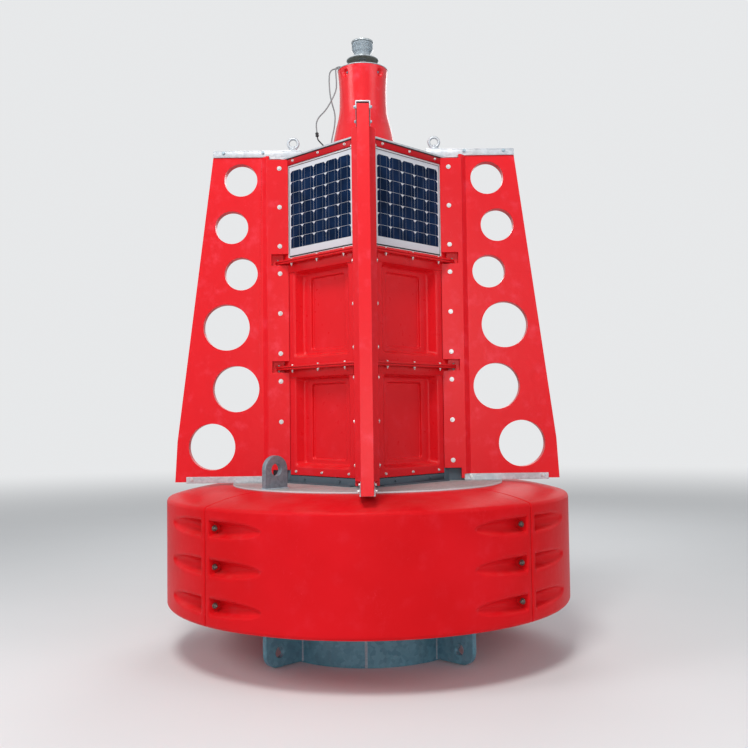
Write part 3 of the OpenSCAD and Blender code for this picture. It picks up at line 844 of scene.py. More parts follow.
def bolt_tree():
    """On every point stands a head, its axis along the point's own axis, turned at random."""
    g = Grower("bolts", {"Head": ("Object", None), "Material": ("Material", None)})
    axis = g.node("GeometryNodeInputNamedAttribute", {"data_type": "FLOAT_VECTOR"}, {0: "axis"})
    spin = g.node("FunctionNodeRandomValue", {"data_type": "FLOAT"}, {
        2: 0.0, 3: 2 * pi, "Seed": BOLT_SEED}, 1)
    turn = g.node("FunctionNodeAxisAngleToRotation", inputs={0: (0.0, 0.0, 1.0), 1: spin})
    aimed = g.node("FunctionNodeAlignRotationToVector", {"axis": "Z"}, {"Vector": axis})
    both = g.node("FunctionNodeRotateRotation", {"rotation_space": "LOCAL"}, {0: aimed, 1: turn})
    points = g.node("GeometryNodeMeshToPoints", inputs={0: g.given("Geometry")})
    head = g.node("GeometryNodeObjectInfo", inputs={0: g.given("Head")}, output="Geometry")
    placed = g.node("GeometryNodeInstanceOnPoints", inputs={
        "Points": points, "Instance": head, "Rotation": both})
    return g.finish(placed)


bolts = bolt_tree()

# %% [markdown]
# A bolt's head is a hexagon whose corners are chamfered by a cone, on a round washer. The two
# are turned profiles with 6 and 24 steps. The washer sits on the surface and hides where the
# shank goes in.

# %% Heads
spare = bpy.data.collections.new("heads")
HEAD_SHARP = 28


def head(name, across, height, washer, washer_t, dome=False):
    """A hexagon head or a domed nut on its washer, as one small mesh at the origin."""
    r, h0, h1 = across / sqrt(3), washer_t, washer_t + height
    disc = turned("disc", [(washer - 0.0008, 0), (washer, 0.0008), (washer, washer_t - 0.0010),
                           (washer - 0.0010, washer_t)], 24)
    hexagon = turned("hexagon", [(r, h0 - 0.0004), (r, h1 - across * 0.10), (r * 0.88, h1)], 6)
    parts = [disc, hexagon]
    if dome:
        parts.append(turned("end", [(across * 0.30, h1 - 0.002), (across * 0.30, h1 + 0.006),
                                    (across * 0.24, h1 + 0.009)], 16))
    piece = smoothed(joined(name, parts), HEAD_SHARP)
    scene.collection.objects.unlink(piece)
    spare.objects.link(piece)
    return piece


HEADS = {
    "root": head("head_root", 0.017, 0.005, 0.0168, 0.0025),
    "nut": head("head_nut", 0.014, 0.009, 0.0100, 0.0020, dome=True),
    "medium": head("head_medium", 0.016, 0.009, 0.0125, 0.0025),
    "small": head("head_small", 0.013, 0.007, 0.0095, 0.0020),
    "float": head("head_float", 0.024, 0.013, 0.0190, 0.0040, dome=True),
}


def fastened(name, kind, places, material=bolt_zinc, slot="bright_zinc"):
    """Bolts at (place, axis) pairs, as one piece."""
    piece = mesh_object(name, [place for place, axis in places])
    axes = piece.data.attributes.new("axis", "FLOAT_VECTOR", "POINT")
    axes.data.foreach_set("vector", [v for place, axis in places for v in axis])
    bolts.grow(piece, {"Head": HEADS[kind], "Material": material})
    dressed(smoothed(piece, HEAD_SHARP), material, slot=slot)
    print(name, len(places), "bolts")


def ringed(spots, frames):
    """The same (place, axis) pairs in each of several frames."""
    return [(m @ Vector(p), m.to_3x3() @ Vector(a)) for m in frames for p, a in spots]


corner_frames = [corner_frame(angle) for angle in CORNERS.values()]
face_frames = [face_frame(angle) for angle in FACES.values()]


# %% Weld beads along a line
WELD_SEED = 5


def weld_tree():
    """Flattened beads in a row along a line, each a little over the last."""
    g = Grower("weld", {"Width": ("Float", 0.008), "Pitch": ("Float", 0.005),
                        "Material": ("Material", None)})
    line = g.node("GeometryNodeMeshToCurve", inputs={0: g.given("Geometry")})
    steps = g.node("GeometryNodeResampleCurve", {"mode": "LENGTH"}, {
        "Curve": line, "Length": g.given("Pitch")})
    points = g.node("GeometryNodeCurveToPoints", {"mode": "EVALUATED"}, {0: steps})
    turn = g.out(points, "Rotation")
    bead = g.node("GeometryNodeMeshUVSphere", inputs={"Segments": 8, "Rings": 5, "Radius": 1.0})
    wide = g.node("FunctionNodeRandomValue", {"data_type": "FLOAT"}, {
        2: 0.42, 3: 0.55, "Seed": WELD_SEED}, 1)
    side = g.given("Width") * wide
    size = g.node("ShaderNodeCombineXYZ", inputs={0: side, 1: side * 0.75, 2: g.given("Pitch") * 0.95})
    placed = g.node("GeometryNodeInstanceOnPoints", inputs={
        "Points": points, "Instance": bead, "Rotation": turn, "Scale": size})
    return g.finish(placed)


welds = weld_tree()


def welded(name, lines, width, pitch, slot):
    """Weld beads along several lines of places, as one piece."""
    points, edges = [], []
    for line in lines:
        start = len(points)
        points += line
        edges += [(start + i, start + i + 1) for i in range(len(line) - 1)]
    piece = mesh_object(name, points, edges=edges)
    welds.grow(piece, {"Width": width, "Pitch": pitch, "Material": weld_zinc})
    dressed(smoothed(piece, 60), weld_zinc, slot=slot)
    print(name, len(piece.data.polygons), "faces")


# %% [markdown]
# ## Float
#
# Each float section is a quarter of a ring, blown or spun in one mould. Its top falls in a slow
# dome from the deck to the rim, its edges are rounded, and three tear-drop pockets at each end
# give room for a spanner on the bolts that clamp the quarters together. A pocket is deep at its
# wall near the seam and runs out to nothing. The skin is made as a grid: rows along the half
# section, columns round the axis. A pocket only moves the grid's points inwards, so its lip is
# as soft as in a mould. Rows and columns lie close where a pocket is and wide elsewhere.

# %% Sizes of a float section
INNER_R = TUBE_R + 0.001
RIM_R, CROWN_DROP, CROWN_R = 0.030, 0.062, DECK_R + 0.012
RIM_LEAN = radians(18)
POCKET_LEVELS = [FLOAT_LOW + 0.371 + i * 0.236 for i in (-1, 0, 1)]
POCKET_HALF, POCKET_LEN, POCKET_DEPTH, POCKET_EDGE = 0.0475, 0.413, 0.084, 0.045
SEAM_EDGE, SEAM_HALF = 0.009, 0.003
WAVE = 0.0011


# %% Half section and its rows
def spread(start, end, step):
    count = max(1, round(abs(end - start) / step))
    return [start + (end - start) * i / count for i in range(count)]


def side_levels(low_z, high_z):
    """Levels on the float's side: close at the pockets, wide between them."""
    levels, z = [], low_z
    for centre in POCKET_LEVELS:
        levels += spread(z, centre - 0.054, 0.018) + spread(centre - 0.054, centre + 0.054, 0.0058)
        z = centre + 0.054
    return levels + spread(z, high_z, 0.018)


def float_section():
    """Closed loop of (radius, height, share of the pockets' reach) round the half section."""
    crown_z, side_r = FLOAT_TOP - CROWN_DROP, FLOAT_R - RIM_R
    top_r = FLOAT_R - RIM_R * (1 - sin(RIM_LEAN))
    fall = CROWN_DROP + RIM_R * (1 - cos(RIM_LEAN))
    loop = [(r, FLOAT_LOW, 0) for r in spread(INNER_R, side_r, 0.12)]
    loop += [(side_r + RIM_R * cos(a), FLOAT_LOW + RIM_R + RIM_R * sin(a), 0)
             for a in spread(-pi / 2, 0, 0.20)]
    loop += [(FLOAT_R, z, 1) for z in side_levels(FLOAT_LOW + RIM_R, crown_z - RIM_R)]
    loop += [(side_r + RIM_R * cos(a), crown_z - RIM_R + RIM_R * sin(a), 0)
             for a in spread(0, pi / 2 - RIM_LEAN, 0.15)]
    loop += [(top_r + (CROWN_R - top_r) * t, FLOAT_TOP - fall * (1 - t) ** 2, 0)
             for t in spread(0, 1, 0.055)]
    loop += [(r, FLOAT_TOP, 0) for r in spread(CROWN_R, INNER_R, 0.10)]
    loop += [(INNER_R, z, 0) for z in spread(FLOAT_TOP, FLOAT_LOW, 0.16)]
    return loop


# %% Columns round the axis
def end_distances():
    """Distances from a seam, in metres along the rim, up to the middle of a section."""
    middle = FLOAT_R * pi / 4
    soft = [SEAM_HALF + SEAM_EDGE * (1 - cos(a)) for a in np.linspace(0, pi / 2, 5)[:-1]]
    wall = [0.012, 0.022, 0.031, 0.036, 0.0385, 0.041, 0.0435, 0.046, 0.0485, 0.0515, 0.056, 0.062]
    pocket = spread(0.068, POCKET_EDGE + POCKET_LEN + 0.03, 0.0088)
    return soft + wall + pocket + spread(POCKET_EDGE + POCKET_LEN + 0.03, middle, 0.034) + [middle]


distances = end_distances()
columns = [(-pi / 4 + d / FLOAT_R, d) for d in distances]
columns += [(pi / 4 - d / FLOAT_R, d) for d in reversed(distances[:-1])]
print("float grid:", len(float_section()), "rows", len(columns), "columns")


# %% Depth of the pockets
def pocket_depth(distance, level):
    """How far the skin lies inside the float's side."""
    share = (distance - POCKET_EDGE) / POCKET_LEN
    if share > 1:
        return 0.0
    nearest = min(POCKET_LEVELS, key=lambda z: abs(z - level))
    half = POCKET_HALF * max(1 - max(share, 0) ** 3.4, 0) ** 0.5
    across = abs(level - nearest) / max(half, 1e-6)
    if across >= 1:
        return 0.0
    wall = min(max((distance - 0.040) / 0.009, 0), 1)
    floor_share = 0.16 + 0.84 * (1 - max(share, 0)) ** 1.15
    return POCKET_DEPTH * floor_share * (1 - across ** 2) ** 0.55 * wall


def eased(field, times):
    """Each value drawn towards its neighbours, which softens a pocket's lip."""
    for _ in range(times):
        inner = field[1:-1, 1:-1]
        around = field[:-2, 1:-1] + field[2:, 1:-1] + field[1:-1, :-2] + field[1:-1, 2:]
        field[1:-1, 1:-1] = 0.5 * inner + 0.125 * around
    return field


# %% A section's skin
def seam_inset(distance):
    """How far the rounded edge at a seam lies inside the skin."""
    d = distance - SEAM_HALF
    if d >= SEAM_EDGE:
        return 0.0
    return SEAM_EDGE - sqrt(SEAM_EDGE ** 2 - (SEAM_EDGE - d) ** 2)


def float_quarter(name, angle, seed):
    loop = float_section()
    flat = [Vector((r, z)) for r, z, reach in loop]
    ways = [flat[(i + 1) % len(flat)] - flat[i - 1] for i in range(len(flat))]
    normals = [Vector((way.y, -way.x)).normalized() for way in ways]
    depth = np.array([[pocket_depth(d, z) * reach for a, d in columns] for r, z, reach in loop])
    depth = eased(depth, 3)
    rings = []
    for j, (a, d) in enumerate(columns):
        inset, ring = seam_inset(d), []
        for i, (r, z, reach) in enumerate(loop):
            spot_at = (r * cos(a) * 2.4, r * sin(a) * 2.4 + seed, z * 3.0)
            wave = noise.noise(Vector(spot_at)) * WAVE
            out = wave - inset if r > INNER_R + 0.05 else -inset * 0.5
            place = flat[i] + normals[i] * out
            rad = min(place.x, FLOAT_R) - depth[i][j]
            ring.append(polar(rad, a, max(place.y, FLOAT_LOW)))
        rings.append(ring)
    return smoothed(recalculated(skin(name, rings, corner_frame(angle))), 62)


for seed, (place, angle) in enumerate(CORNERS.items()):
    section = float_quarter("float_section_" + place, angle, seed * 7.3)
    dressed(section, red_float, ["float_" + place])
print("float sections:", len(section.data.polygons), "faces each")

# %% Clamping bolts in the pockets
BOLT_R, WALL_AT = FLOAT_R - 0.040, 0.0475
clamp_spots = []
for side in (1, -1):
    a = side * (pi / 4 - WALL_AT / FLOAT_R)
    way = Vector((sin(a), -cos(a), 0)) * side
    clamp_spots += [(polar(BOLT_R, a, z), way) for z in POCKET_LEVELS]
fastened("clamping_bolts", "float", ringed(clamp_spots, corner_frames), dark_bolt, "dull_zinc")

# %% [markdown]
# ## Tail tube, lugs and deck
#
# The steel tube goes right through the float and ends in an open foot. It was rolled from
# plate, so one weld runs up its side. Four radial lugs for the mooring are welded on below the
# seams. The deck plate closes the float's top and carries two pad eyes for lifting.

# %% Tail tube
TUBE_WALL, SEAM_AT = 0.012, radians(-92.0)
TUBE_TOP, HIDDEN_R = high("tail_tube").z, 0.30
tube_profile = [(HIDDEN_R, TUBE_TOP - TUBE_WALL), (TUBE_R - TUBE_WALL, TUBE_TOP - TUBE_WALL),
                (TUBE_R - TUBE_WALL, 0.0015), (TUBE_R - TUBE_WALL + 0.0015, 0.0),
                (TUBE_R - 0.0015, 0.0), (TUBE_R, 0.0015), (TUBE_R, FLOAT_LOW),
                (TUBE_R, TUBE_TOP - 0.001), (TUBE_R - 0.001, TUBE_TOP), (HIDDEN_R, TUBE_TOP)]
tube = smoothed(recalculated(turned("tail_tube_shell", tube_profile, 192)), 30)
dressed(tube, dull_zinc, ["tail_tube"])

# %% Mooring lugs and pad eyes
soft_copies("mooring_lug_", FACES, 0.003, dull_zinc)
soft_copies("pad_eye_", ("front_left", "back_right"), 0.004, eye_zinc, "deck_zinc")

# %% Deck plate
deck_low = low("deck_plate").z
deck_profile = [(HIDDEN_R, deck_low), (DECK_R - 0.002, deck_low), (DECK_R, deck_low + 0.002),
                (DECK_R, DECK_TOP - 0.002), (DECK_R - 0.0006, DECK_TOP - 0.0006),
                (DECK_R - 0.002, DECK_TOP), (HIDDEN_R, DECK_TOP)]
deck = smoothed(recalculated(turned("deck_disc", deck_profile, 192)), 30)
dressed(deck, deck_zinc, ["deck_plate"])

# %% Welds
LUG_HALF, LUG_LOW = 0.019, low("mooring_lug_front_right").z
PAD_X, PAD_HALF = 0.866, 0.094
STRIP_W, STRIP_T, STRIP_STEPS = 0.018, 0.0007, 6
diagonals = [radians(a) for a in (-45, 45, 135, 225)]


def upright(radius, angle, *levels):
    """A line up the tube's side."""
    return [polar(radius, angle, z) for z in levels]


lug_turn = asin((LUG_HALF + 0.002) / TUBE_R)
lug_lines = [upright(TUBE_R + 0.001, a + side * lug_turn, LUG_LOW + 0.004, FLOAT_LOW - 0.004)
             for a in diagonals for side in (1, -1)]
welded("lug_welds", lug_lines, 0.016, 0.0055, "dull_zinc")
seam_line = upright(TUBE_R - 0.001, SEAM_AT, 0.005, FLOAT_LOW)
welded("tube_seam_weld", [seam_line], 0.012, 0.0045, "dull_zinc")
across = [k / STRIP_STEPS for k in range(STRIP_STEPS + 1)]
strip_ring = [(TUBE_R + STRIP_T * sin(pi * t), t) for t in across]
strip_ring += [(TUBE_R - 0.001, t) for t in reversed(across)]
strip_ring = [(r, SEAM_AT + (t - 0.5) * STRIP_W / TUBE_R) for r, t in strip_ring]
strip = slab("tube_seam_strip", [(r * cos(a), r * sin(a)) for r, a in strip_ring],
             0.002, FLOAT_LOW + 0.01)
dressed(smoothed(recalculated(strip), 40), weld_zinc, slot="dull_zinc")
pad_side = LUG_HALF + 0.002
pad_foot = oblong(PAD_X - PAD_HALF - 0.002, PAD_X + PAD_HALF + 0.002, -pad_side, pad_side)
pad_foot = [Vector((x, y, DECK_TOP + 0.001)) for x, y in pad_foot + pad_foot[:1]]
pad_lines = [[corner_frame(angle) @ p for p in pad_foot] for angle in (225, 45)]
welded("pad_eye_welds", pad_lines, 0.014, 0.005, "deck_zinc")

# %% [markdown]
# ## Tower
#
# A dark steel angle on the deck carries the tower. Its two lower bays have day panels, which
# are deep moulded trays that the wind can't flap. Red rails cover the joints between bays, and
# a red header with a thin plate closes the top. All of them are sheets with a small radius on
# their edges, and each kind is made for one face and repeated on all four.

# %% [markdown]
# Each rail's lip is really two flanges, one of the bay above and one of the bay below, bolted
# flange to flange. So the lip is a stack of outlines that draws in where the two meet, and the
# dark line between them is a true groove. The leg, the shelf and the covers are plain sheets.

# %% A rail's sheets and its double lip
LIP_REACH, LIP_T, LIP_SPLAY, LIP_CORNER, SHEET = 0.050, 0.028, 0.040, 0.006, 0.008
NOTCH_HALF = FACE_R - 0.039 * sqrt(2)
COVER_H, SHELF_REACH, FRAME_HALF = 0.045, 0.042, 0.3423
HAIR = 0.0003


def wide(y0, y1, z0, z1):
    """A sheet over a face's whole width."""
    return sheet(-FACE_HALF, FACE_HALF, y0, y1, z0, z1)


def lip_outline(inset):
    tip, reach = NOTCH_HALF + LIP_SPLAY - inset * 0.7, LIP_REACH - inset
    return [(-NOTCH_HALF, 0.0), (-tip, -reach + LIP_CORNER), (-tip + LIP_CORNER, -reach),
            (tip - LIP_CORNER, -reach), (tip, -reach + LIP_CORNER), (NOTCH_HALF, 0.0)]


def notch_covers(bottom, top, start, reach):
    """Two plates that close the tower's corners behind the fins' notches."""
    return [sheet(*ends, 0, SHEET, bottom, top) for ends in ((-reach, -start), (start, reach))]


def rail(z, drop, leg_down, above_half):
    half, mid = LIP_T / 2, z - drop
    under = [(-half, 0.0035), (-half + 0.0012, 0.0012), (-half + 0.0040, 0.0), (-0.0040, 0.0),
             (-0.0028, 0.0012), (-0.0024, 0.0120)]
    profile = under + [(-level, inset) for level, inset in reversed(under)]
    rings = [[(x, y, mid + level) for x, y in lip_outline(inset)] for level, inset in profile]
    return ([skin("lip", rings), wide(-SHEET, 0, z - leg_down, z + 0.009),
             wide(-0.001, SHELF_REACH, z - SHEET / 2, z + SHEET / 2)]
            + notch_covers(z - COVER_H, z + SHEET / 2, FACE_HALF, NOTCH_HALF)
            + notch_covers(z, z + COVER_H, above_half, NOTCH_HALF))


# %% Rows of sheets, the same on each face
LIP_DROP = {RAIL_LOW: 0.010, RAIL_HIGH: 0.022}
HEADER_H, FLANGE_REACH, FOOT_COVER_H = 0.050, 0.032, 0.094


def sheet_row(name, parts_of, material, nodes=(), slot=None, bevel=0.0012):
    """The parts of one face, repeated on all four, as one piece with soft edges."""
    row = recalculated(joined(name, repeated(parts_of, face_frames)), 1e-6)
    dressed(smoothed(bevelled(row, bevel), 40), material, nodes, slot)
    print(name, len(row.data.polygons), "faces")


sheet_row("header_row", lambda: [
    wide(-SHEET, 0, TOWER_TOP - HEADER_H, TOWER_TOP - HAIR),
    wide(-0.001, FLANGE_REACH, TOWER_TOP - SHEET, TOWER_TOP - HAIR)],
    red_header, ["header"], "red_rail", 0.0025)
sheet_row("base_angle_row", lambda: [
    wide(0, SHEET, DECK_TOP + HAIR, TOWER_Z),
    wide(-LIP_REACH, 0.001, DECK_TOP + HAIR, DECK_TOP + SHEET),
    *notch_covers(DECK_TOP + HAIR, DECK_TOP + FOOT_COVER_H, FACE_HALF, FACE_R)],
    dark_steel, ["base_angle"], bevel=0.0015)
for level, bay, above_half in (("lower", RAIL_LOW, FACE_HALF), ("upper", RAIL_HIGH, FRAME_HALF)):
    leg_down = LEG_DOWN["lower" if level == "lower" else "middle"]
    sheet_row(f"rails_{level}_row", lambda: rail(bay, LIP_DROP[bay], leg_down, above_half),
              red_rail, ["rails_" + level])

# %% Packing posts that close the tower's corners behind the fins' feet, dark as painted shade in the gaps
POST_IN, POST_OUT, POST_HALF, POST_H = 0.56, 0.700, 0.045, 0.088
posts = repeated(lambda: [sheet(POST_IN, POST_OUT, -POST_HALF, POST_HALF,
                                DECK_TOP + HAIR, DECK_TOP + POST_H)], corner_frames)
dressed(smoothed(recalculated(joined("corner_posts", posts)), 30), dark_steel)

# %% Top plate and the gasket under it
PLATE_IN = (PACKED_FACE_R - FACE_R) * sqrt(2)
PLATE_CORNER = (PACKED_FACE_R + 0.014) * sqrt(2)


def plate_moved(place):
    """Draws the plate's sides in as far as the tower's faces were drawn in."""
    x, y, z = place
    if abs(abs(x) + abs(y) - PLATE_CORNER) < 0.002:
        if abs(x) > abs(y):
            x -= copysign(PLATE_IN, x)
        else:
            y -= copysign(PLATE_IN, y)
    return Vector((x, y, z))


dressed(softened("top_plate", 0.0020, moved=plate_moved), bright_zinc, ["top_plate"])
GASKET_REACH, GASKET_LOW = 0.0098, 0.0075
sheet_row("top_gasket", lambda: [
    wide(-GASKET_REACH, -0.001, TOWER_TOP - GASKET_LOW, TOWER_TOP - 0.0004)],
    gasket_rubber, (), "black_plastic", 0.0005)

# %% [markdown]
# A day panel is drawn as a stack of rounded rectangles, from its flat border into the tray and
# on to the field in the middle. Between the border and the drafted wall, and between the wall
# and the ledge, a short Bezier curve stands for the mould's fillet. The skin then gets its
# thickness from Solidify.

# %% Rings of a day panel
PAN_HALF, PAN_DEPTH, DRAFT_SIDE, DRAFT_END = 0.281, 0.070, 0.033, 0.016
LEDGE_SIDE, LEDGE_END, FIELD_DEPTH, FIELD_DRAFT = 0.072, 0.034, 0.020, 0.003
PAN_FOOT, WALL_T, RAIL_HALF_T = 0.066, 0.006, 0.004


def bend(start, knee, end, steps=6):
    """Points of a quadratic Bezier curve, each (inset at the sides, inset at the ends, depth)."""
    shares = [k / steps for k in range(steps + 1)]
    return [tuple((1 - t) ** 2 * a + 2 * t * (1 - t) * b + t * t * c
                  for a, b, c in zip(start, knee, end)) for t in shares]


def panel_steps():
    side, end = DRAFT_SIDE / PAN_DEPTH, DRAFT_END / PAN_DEPTH
    lip, foot, step = 0.012, 0.011, 0.006
    fs, fe = DRAFT_SIDE + LEDGE_SIDE, DRAFT_END + LEDGE_END
    deep = PAN_DEPTH + FIELD_DEPTH
    return (bend((-lip, -lip, 0), (0, 0, 0), (side * lip, end * lip, lip))
            + bend((side * (PAN_DEPTH - foot), end * (PAN_DEPTH - foot), PAN_DEPTH - foot),
                   (DRAFT_SIDE, DRAFT_END, PAN_DEPTH), (DRAFT_SIDE + foot, DRAFT_END + foot, PAN_DEPTH))
            + bend((fs - step, fe - step, PAN_DEPTH), (fs, fe, PAN_DEPTH),
                   (fs + 0.001, fe + 0.001, PAN_DEPTH + step))
            + bend((fs + 0.002, fe + 0.002, deep - step), (fs + FIELD_DRAFT, fe + FIELD_DRAFT, deep),
                   (fs + FIELD_DRAFT + step, fe + FIELD_DRAFT + step, deep)))


def rounded(half_w, low_z, high_z, radius, depth, turns=8):
    """A rounded rectangle on a face, as points (along, inwards, up)."""
    ring = []
    for sx, sz, start in ((1, 1, 0), (-1, 1, 90), (-1, -1, 180), (1, -1, 270)):
        cx, cz = sx * (half_w - radius), (high_z if sz > 0 else low_z) - sz * radius
        for k in range(turns + 1):
            a = radians(start + 90 * k / turns)
            ring.append((cx + radius * cos(a), depth, cz + radius * sin(a)))
    return ring


# %% Day panels
def day_panel(name, foot_z, angle, leg_down):
    low_z, high_z = foot_z + PAN_FOOT, foot_z + BAY_H - leg_down
    edge_half, edge_low = FACE_HALF - HAIR, foot_z + RAIL_HALF_T + HAIR
    edge_high = foot_z + BAY_H - RAIL_HALF_T - HAIR
    rings = [rounded(edge_half, edge_low, edge_high, 0.004, 0.002),
             rounded(edge_half - 0.001, edge_low + 0.001, edge_high - 0.001, 0.004, 0.0)]
    for side, end, depth in panel_steps():
        radius = 0.034 - 0.10 * max(side, 0)
        rings.append(rounded(PAN_HALF - side, low_z + end, high_z - end, radius, depth))
    piece = skin(name, rings, face_frame(angle), ends=(False, True))
    all_smooth(piece)
    outwards = face_frame(angle).to_3x3() @ Vector((0, -1, 0))
    if piece.data.polygons[-1].normal.dot(outwards) < 0:
        piece.data.flip_normals()
    wall = piece.modifiers.new("skin", "SOLIDIFY")
    wall.thickness, wall.offset = WALL_T, -1
    piece.modifiers.new("flats", "WEIGHTED_NORMAL")
    return baked(piece)


for place, angle in FACES.items():
    for bay, foot_z in (("lower", TOWER_Z), ("middle", RAIL_LOW)):
        panel = day_panel(f"panel_{bay}_{place}", foot_z, angle, LEG_DOWN[bay])
        dressed(panel, red_panel, [f"day_panel_{bay}_{place}"])
print("day panels: 8 with", len(panel.data.polygons), "faces each")

# %% Bolts of the tower
LEG_FACE, ROWS, FLANGE_ROW = -0.008, (-0.272, 0.0, 0.272), -0.028
edge_rows = [(TOWER_TOP - 0.024, LEG_FACE), (TOWER_Z + 0.029, 0.0)]
edge_spots = [((u, y, z), (0, -1, 0)) for z, y in edge_rows for u in ROWS]
fastened("tower_bolts", "small", ringed(edge_spots, face_frames))
flange_places = [(u, FLANGE_ROW) for u in ROWS] + [(-0.408, -0.040), (0.408, -0.040)]
lip_mids = [z - drop for z, drop in LIP_DROP.items()]
upper_spots = [((u, y, mid + LIP_T / 2), (0, 0, 1)) for mid in lip_mids for u, y in flange_places]
lower_spots = [((u, y, mid - LIP_T / 2), (0, 0, -1)) for mid in lip_mids for u, y in flange_places]
for kind, head_kind, spots in (("flange_bolts", "small", upper_spots),
                               ("flange_nuts", "nut", lower_spots)):
    inner = [p for p in spots if abs(p[0][0]) < FACE_HALF]
    outer = [p for p in spots if abs(p[0][0]) > FACE_HALF]
    fastened(kind, head_kind, ringed(inner, face_frames))
    # The bolts in the notches take the dark finish: painted shade of the notches
    fastened(kind + "_in_notches", head_kind, ringed(outer, face_frames), dark_bolt, "dull_zinc")
angle_spots = [((u, 0.0, TOWER_Z - 0.022), (0, -1, 0)) for u in (-0.18, 0.18)]
fastened("base_angle_bolts", "small", ringed(angle_spots, face_frames), dark_steel, "dark_steel")

# %% [markdown]
# ## Solar panels
#
# Each top bay holds a framed solar panel. Under its glass lie 35 cells on a white sheet, in 5
# columns and 7 rows. One cell is drawn, wider than it is high and with two cut corners, and a
# tree repeats it over the grid. The two bus bars of a cell come from the same tree.

# %% Frames
FRAME_OUT = 0.010
for place, angle in FACES.items():
    rim = softened("solar_frame_" + place, 0.0015)
    rim.data.transform(Matrix.Translation(face_frame(angle).to_3x3() @ Vector((0, -FRAME_OUT, 0))))
    dressed(rim, solar_alloy, ["solar_frame_" + place])


# %% A tree for a grid of copies
def grid_tree():
    g = Grower("cell_grid", {"Columns": ("Int", 5), "Rows": ("Int", 7), "Column Pitch": ("Float", 0.1),
                             "Row Pitch": ("Float", 0.1), "Material": ("Material", None)})
    columns_n, rows_n = g.given("Columns"), g.given("Rows")
    grid = g.node("GeometryNodeMeshGrid", inputs={
        0: (columns_n - 1) * g.given("Column Pitch"), 1: (rows_n - 1) * g.given("Row Pitch"),
        2: columns_n, 3: rows_n})
    points = g.node("GeometryNodeMeshToPoints", inputs={0: grid})
    placed = g.node("GeometryNodeInstanceOnPoints", inputs={
        "Points": points, "Instance": g.given("Geometry")})
    return g.finish(placed)


cell_grid = grid_tree()

# %% Cells, bus bars and backsheet
COLUMNS_N, ROWS_N, CELL_PITCH, ROW_PITCH = 5, 7, 0.12575, 0.0809
CELL_HALF_W, CELL_HALF_H, CELL_CUT, BAR_HALF = 0.0619, 0.03955, 0.016, 0.0008
GLASS_AT, CELL_MID = 0.0050, RAIL_HIGH + 0.360
SHEET_T, CELL_T, BAR_UP, SEAL_T, SEAL_W, SEAL_SHADOW_FOOT = 0.0055, 0.0005, 0.0008, 0.0012, 0.0035, 0.0095
sheet_low, sheet_high = low("solar_laminate_front_left").z, high("solar_laminate_front_left").z
SHEET_MID, SHEET_HALF_H = (sheet_low + sheet_high) / 2, (sheet_high - sheet_low) / 2
SHEET_HALF_W = 0.3307


def glass_frame(angle, depth, z):
    """Matrix from a tile's own axes to its place under a panel's glass."""
    return face_frame(angle) @ Matrix.Translation((0, depth, z)) @ Matrix.Rotation(pi / 2, 4, "X")


def tiled(name, outline, thickness, columns_n, pitch, material, place):
    """Copies of one small tile over the panel's grid."""
    tile = slab(name, outline, 0, thickness)
    cell_grid.grow(tile, {"Columns": columns_n, "Rows": ROWS_N, "Column Pitch": pitch,
                          "Row Pitch": ROW_PITCH, "Material": material})
    tile.data.transform(place)
    return tile


w, h, c = CELL_HALF_W, CELL_HALF_H, CELL_CUT
cell_outline = [(-w, -h), (w, -h), (w, h - c), (w - c, h), (c - w, h), (-w, h - c)]
bar_outline = oblong(-BAR_HALF, BAR_HALF, -h, h)
w, h = SHEET_HALF_W, SHEET_HALF_H
# A dark seal runs round the sheet; its wider band along the foot is painted shadow under the frame
seal_sides = ((-w, w, -h, SEAL_SHADOW_FOOT - h), (-w, w, h - SEAL_W, h),
              (-w, SEAL_W - w, -h, h), (w - SEAL_W, w, -h, h))
for place, angle in FACES.items():
    back = slab("solar_sheet_" + place, oblong(-w, w, -h, h), 0, SHEET_T,
                glass_frame(angle, GLASS_AT + SHEET_T, SHEET_MID))
    dressed(back, backsheet, slot="solar_alloy")
    seals = [slab("seal", oblong(*sides), 0, SEAL_T) for sides in seal_sides]
    seal = joined("glass_seal_" + place, seals)
    seal.data.transform(glass_frame(angle, GLASS_AT, SHEET_MID))
    dressed(seal, gasket_rubber, slot="black_plastic")
    lay = glass_frame(angle, GLASS_AT, CELL_MID)
    cells = tiled("solar_cells_" + place, cell_outline, CELL_T, COLUMNS_N, CELL_PITCH, solar_cells, lay)
    bars = tiled("solar_bars_" + place, bar_outline, BAR_UP, 2 * COLUMNS_N, CELL_PITCH / 2,
                 bus_metal, lay)
    dressed(bars, bus_metal, slot="solar_alloy")
    dressed(cells, solar_cells, ["solar_laminate_" + place])
print("solar cells:", len(cells.data.polygons), "faces a panel")

# %% [markdown]
# ## Fins
#
# A fin is one thick moulding: a wing with six holes and a root that the tower's corners bolt
# to. All its edges and all the holes' rims are well rounded, as plastic from a mould is.

# %% Fins
CORNER_R, TOP_GAP = PACKED_FACE_R * sqrt(2), 0.006
WING_TOP = high("fin_front").z


def fin_moved(frame):
    """Brings a root's inner faces to the tower's, and lowers the wing's top under its bar."""
    back = frame.inverted()

    def move(place):
        x, y, z = back @ place
        if abs(x + abs(y) - CORNER_R) < 0.003:
            x -= PLATE_IN
        if z > WING_TOP - 0.0005:
            z -= TOP_GAP
        return frame @ Vector((x, y, z))
    return move


for place, angle in CORNERS.items():
    fin = softened("fin_" + place, 0.016, 4, long_share=0.45, moved=fin_moved(corner_frame(angle)))
    dressed(fin, red_fin, ["fin_" + place])
print("fins:", len(fin.data.polygons), "faces each")

# %% Bolts of the fins
ROOT_RHO, CHANNEL_HALF = 0.617, 0.047
ROOT_LEVELS = (3.452, 3.167, 2.880, 2.680, 2.390, 2.099, 1.898, 1.606, 1.315)


def on_both_sides(half, places):
    """Places (outwards, up) on both sides of a fin, each with its axis, at all four corners."""
    spots = [((x, side * half, z), (0, side, 0)) for side in (1, -1) for x, z in places]
    return ringed(spots, corner_frames)


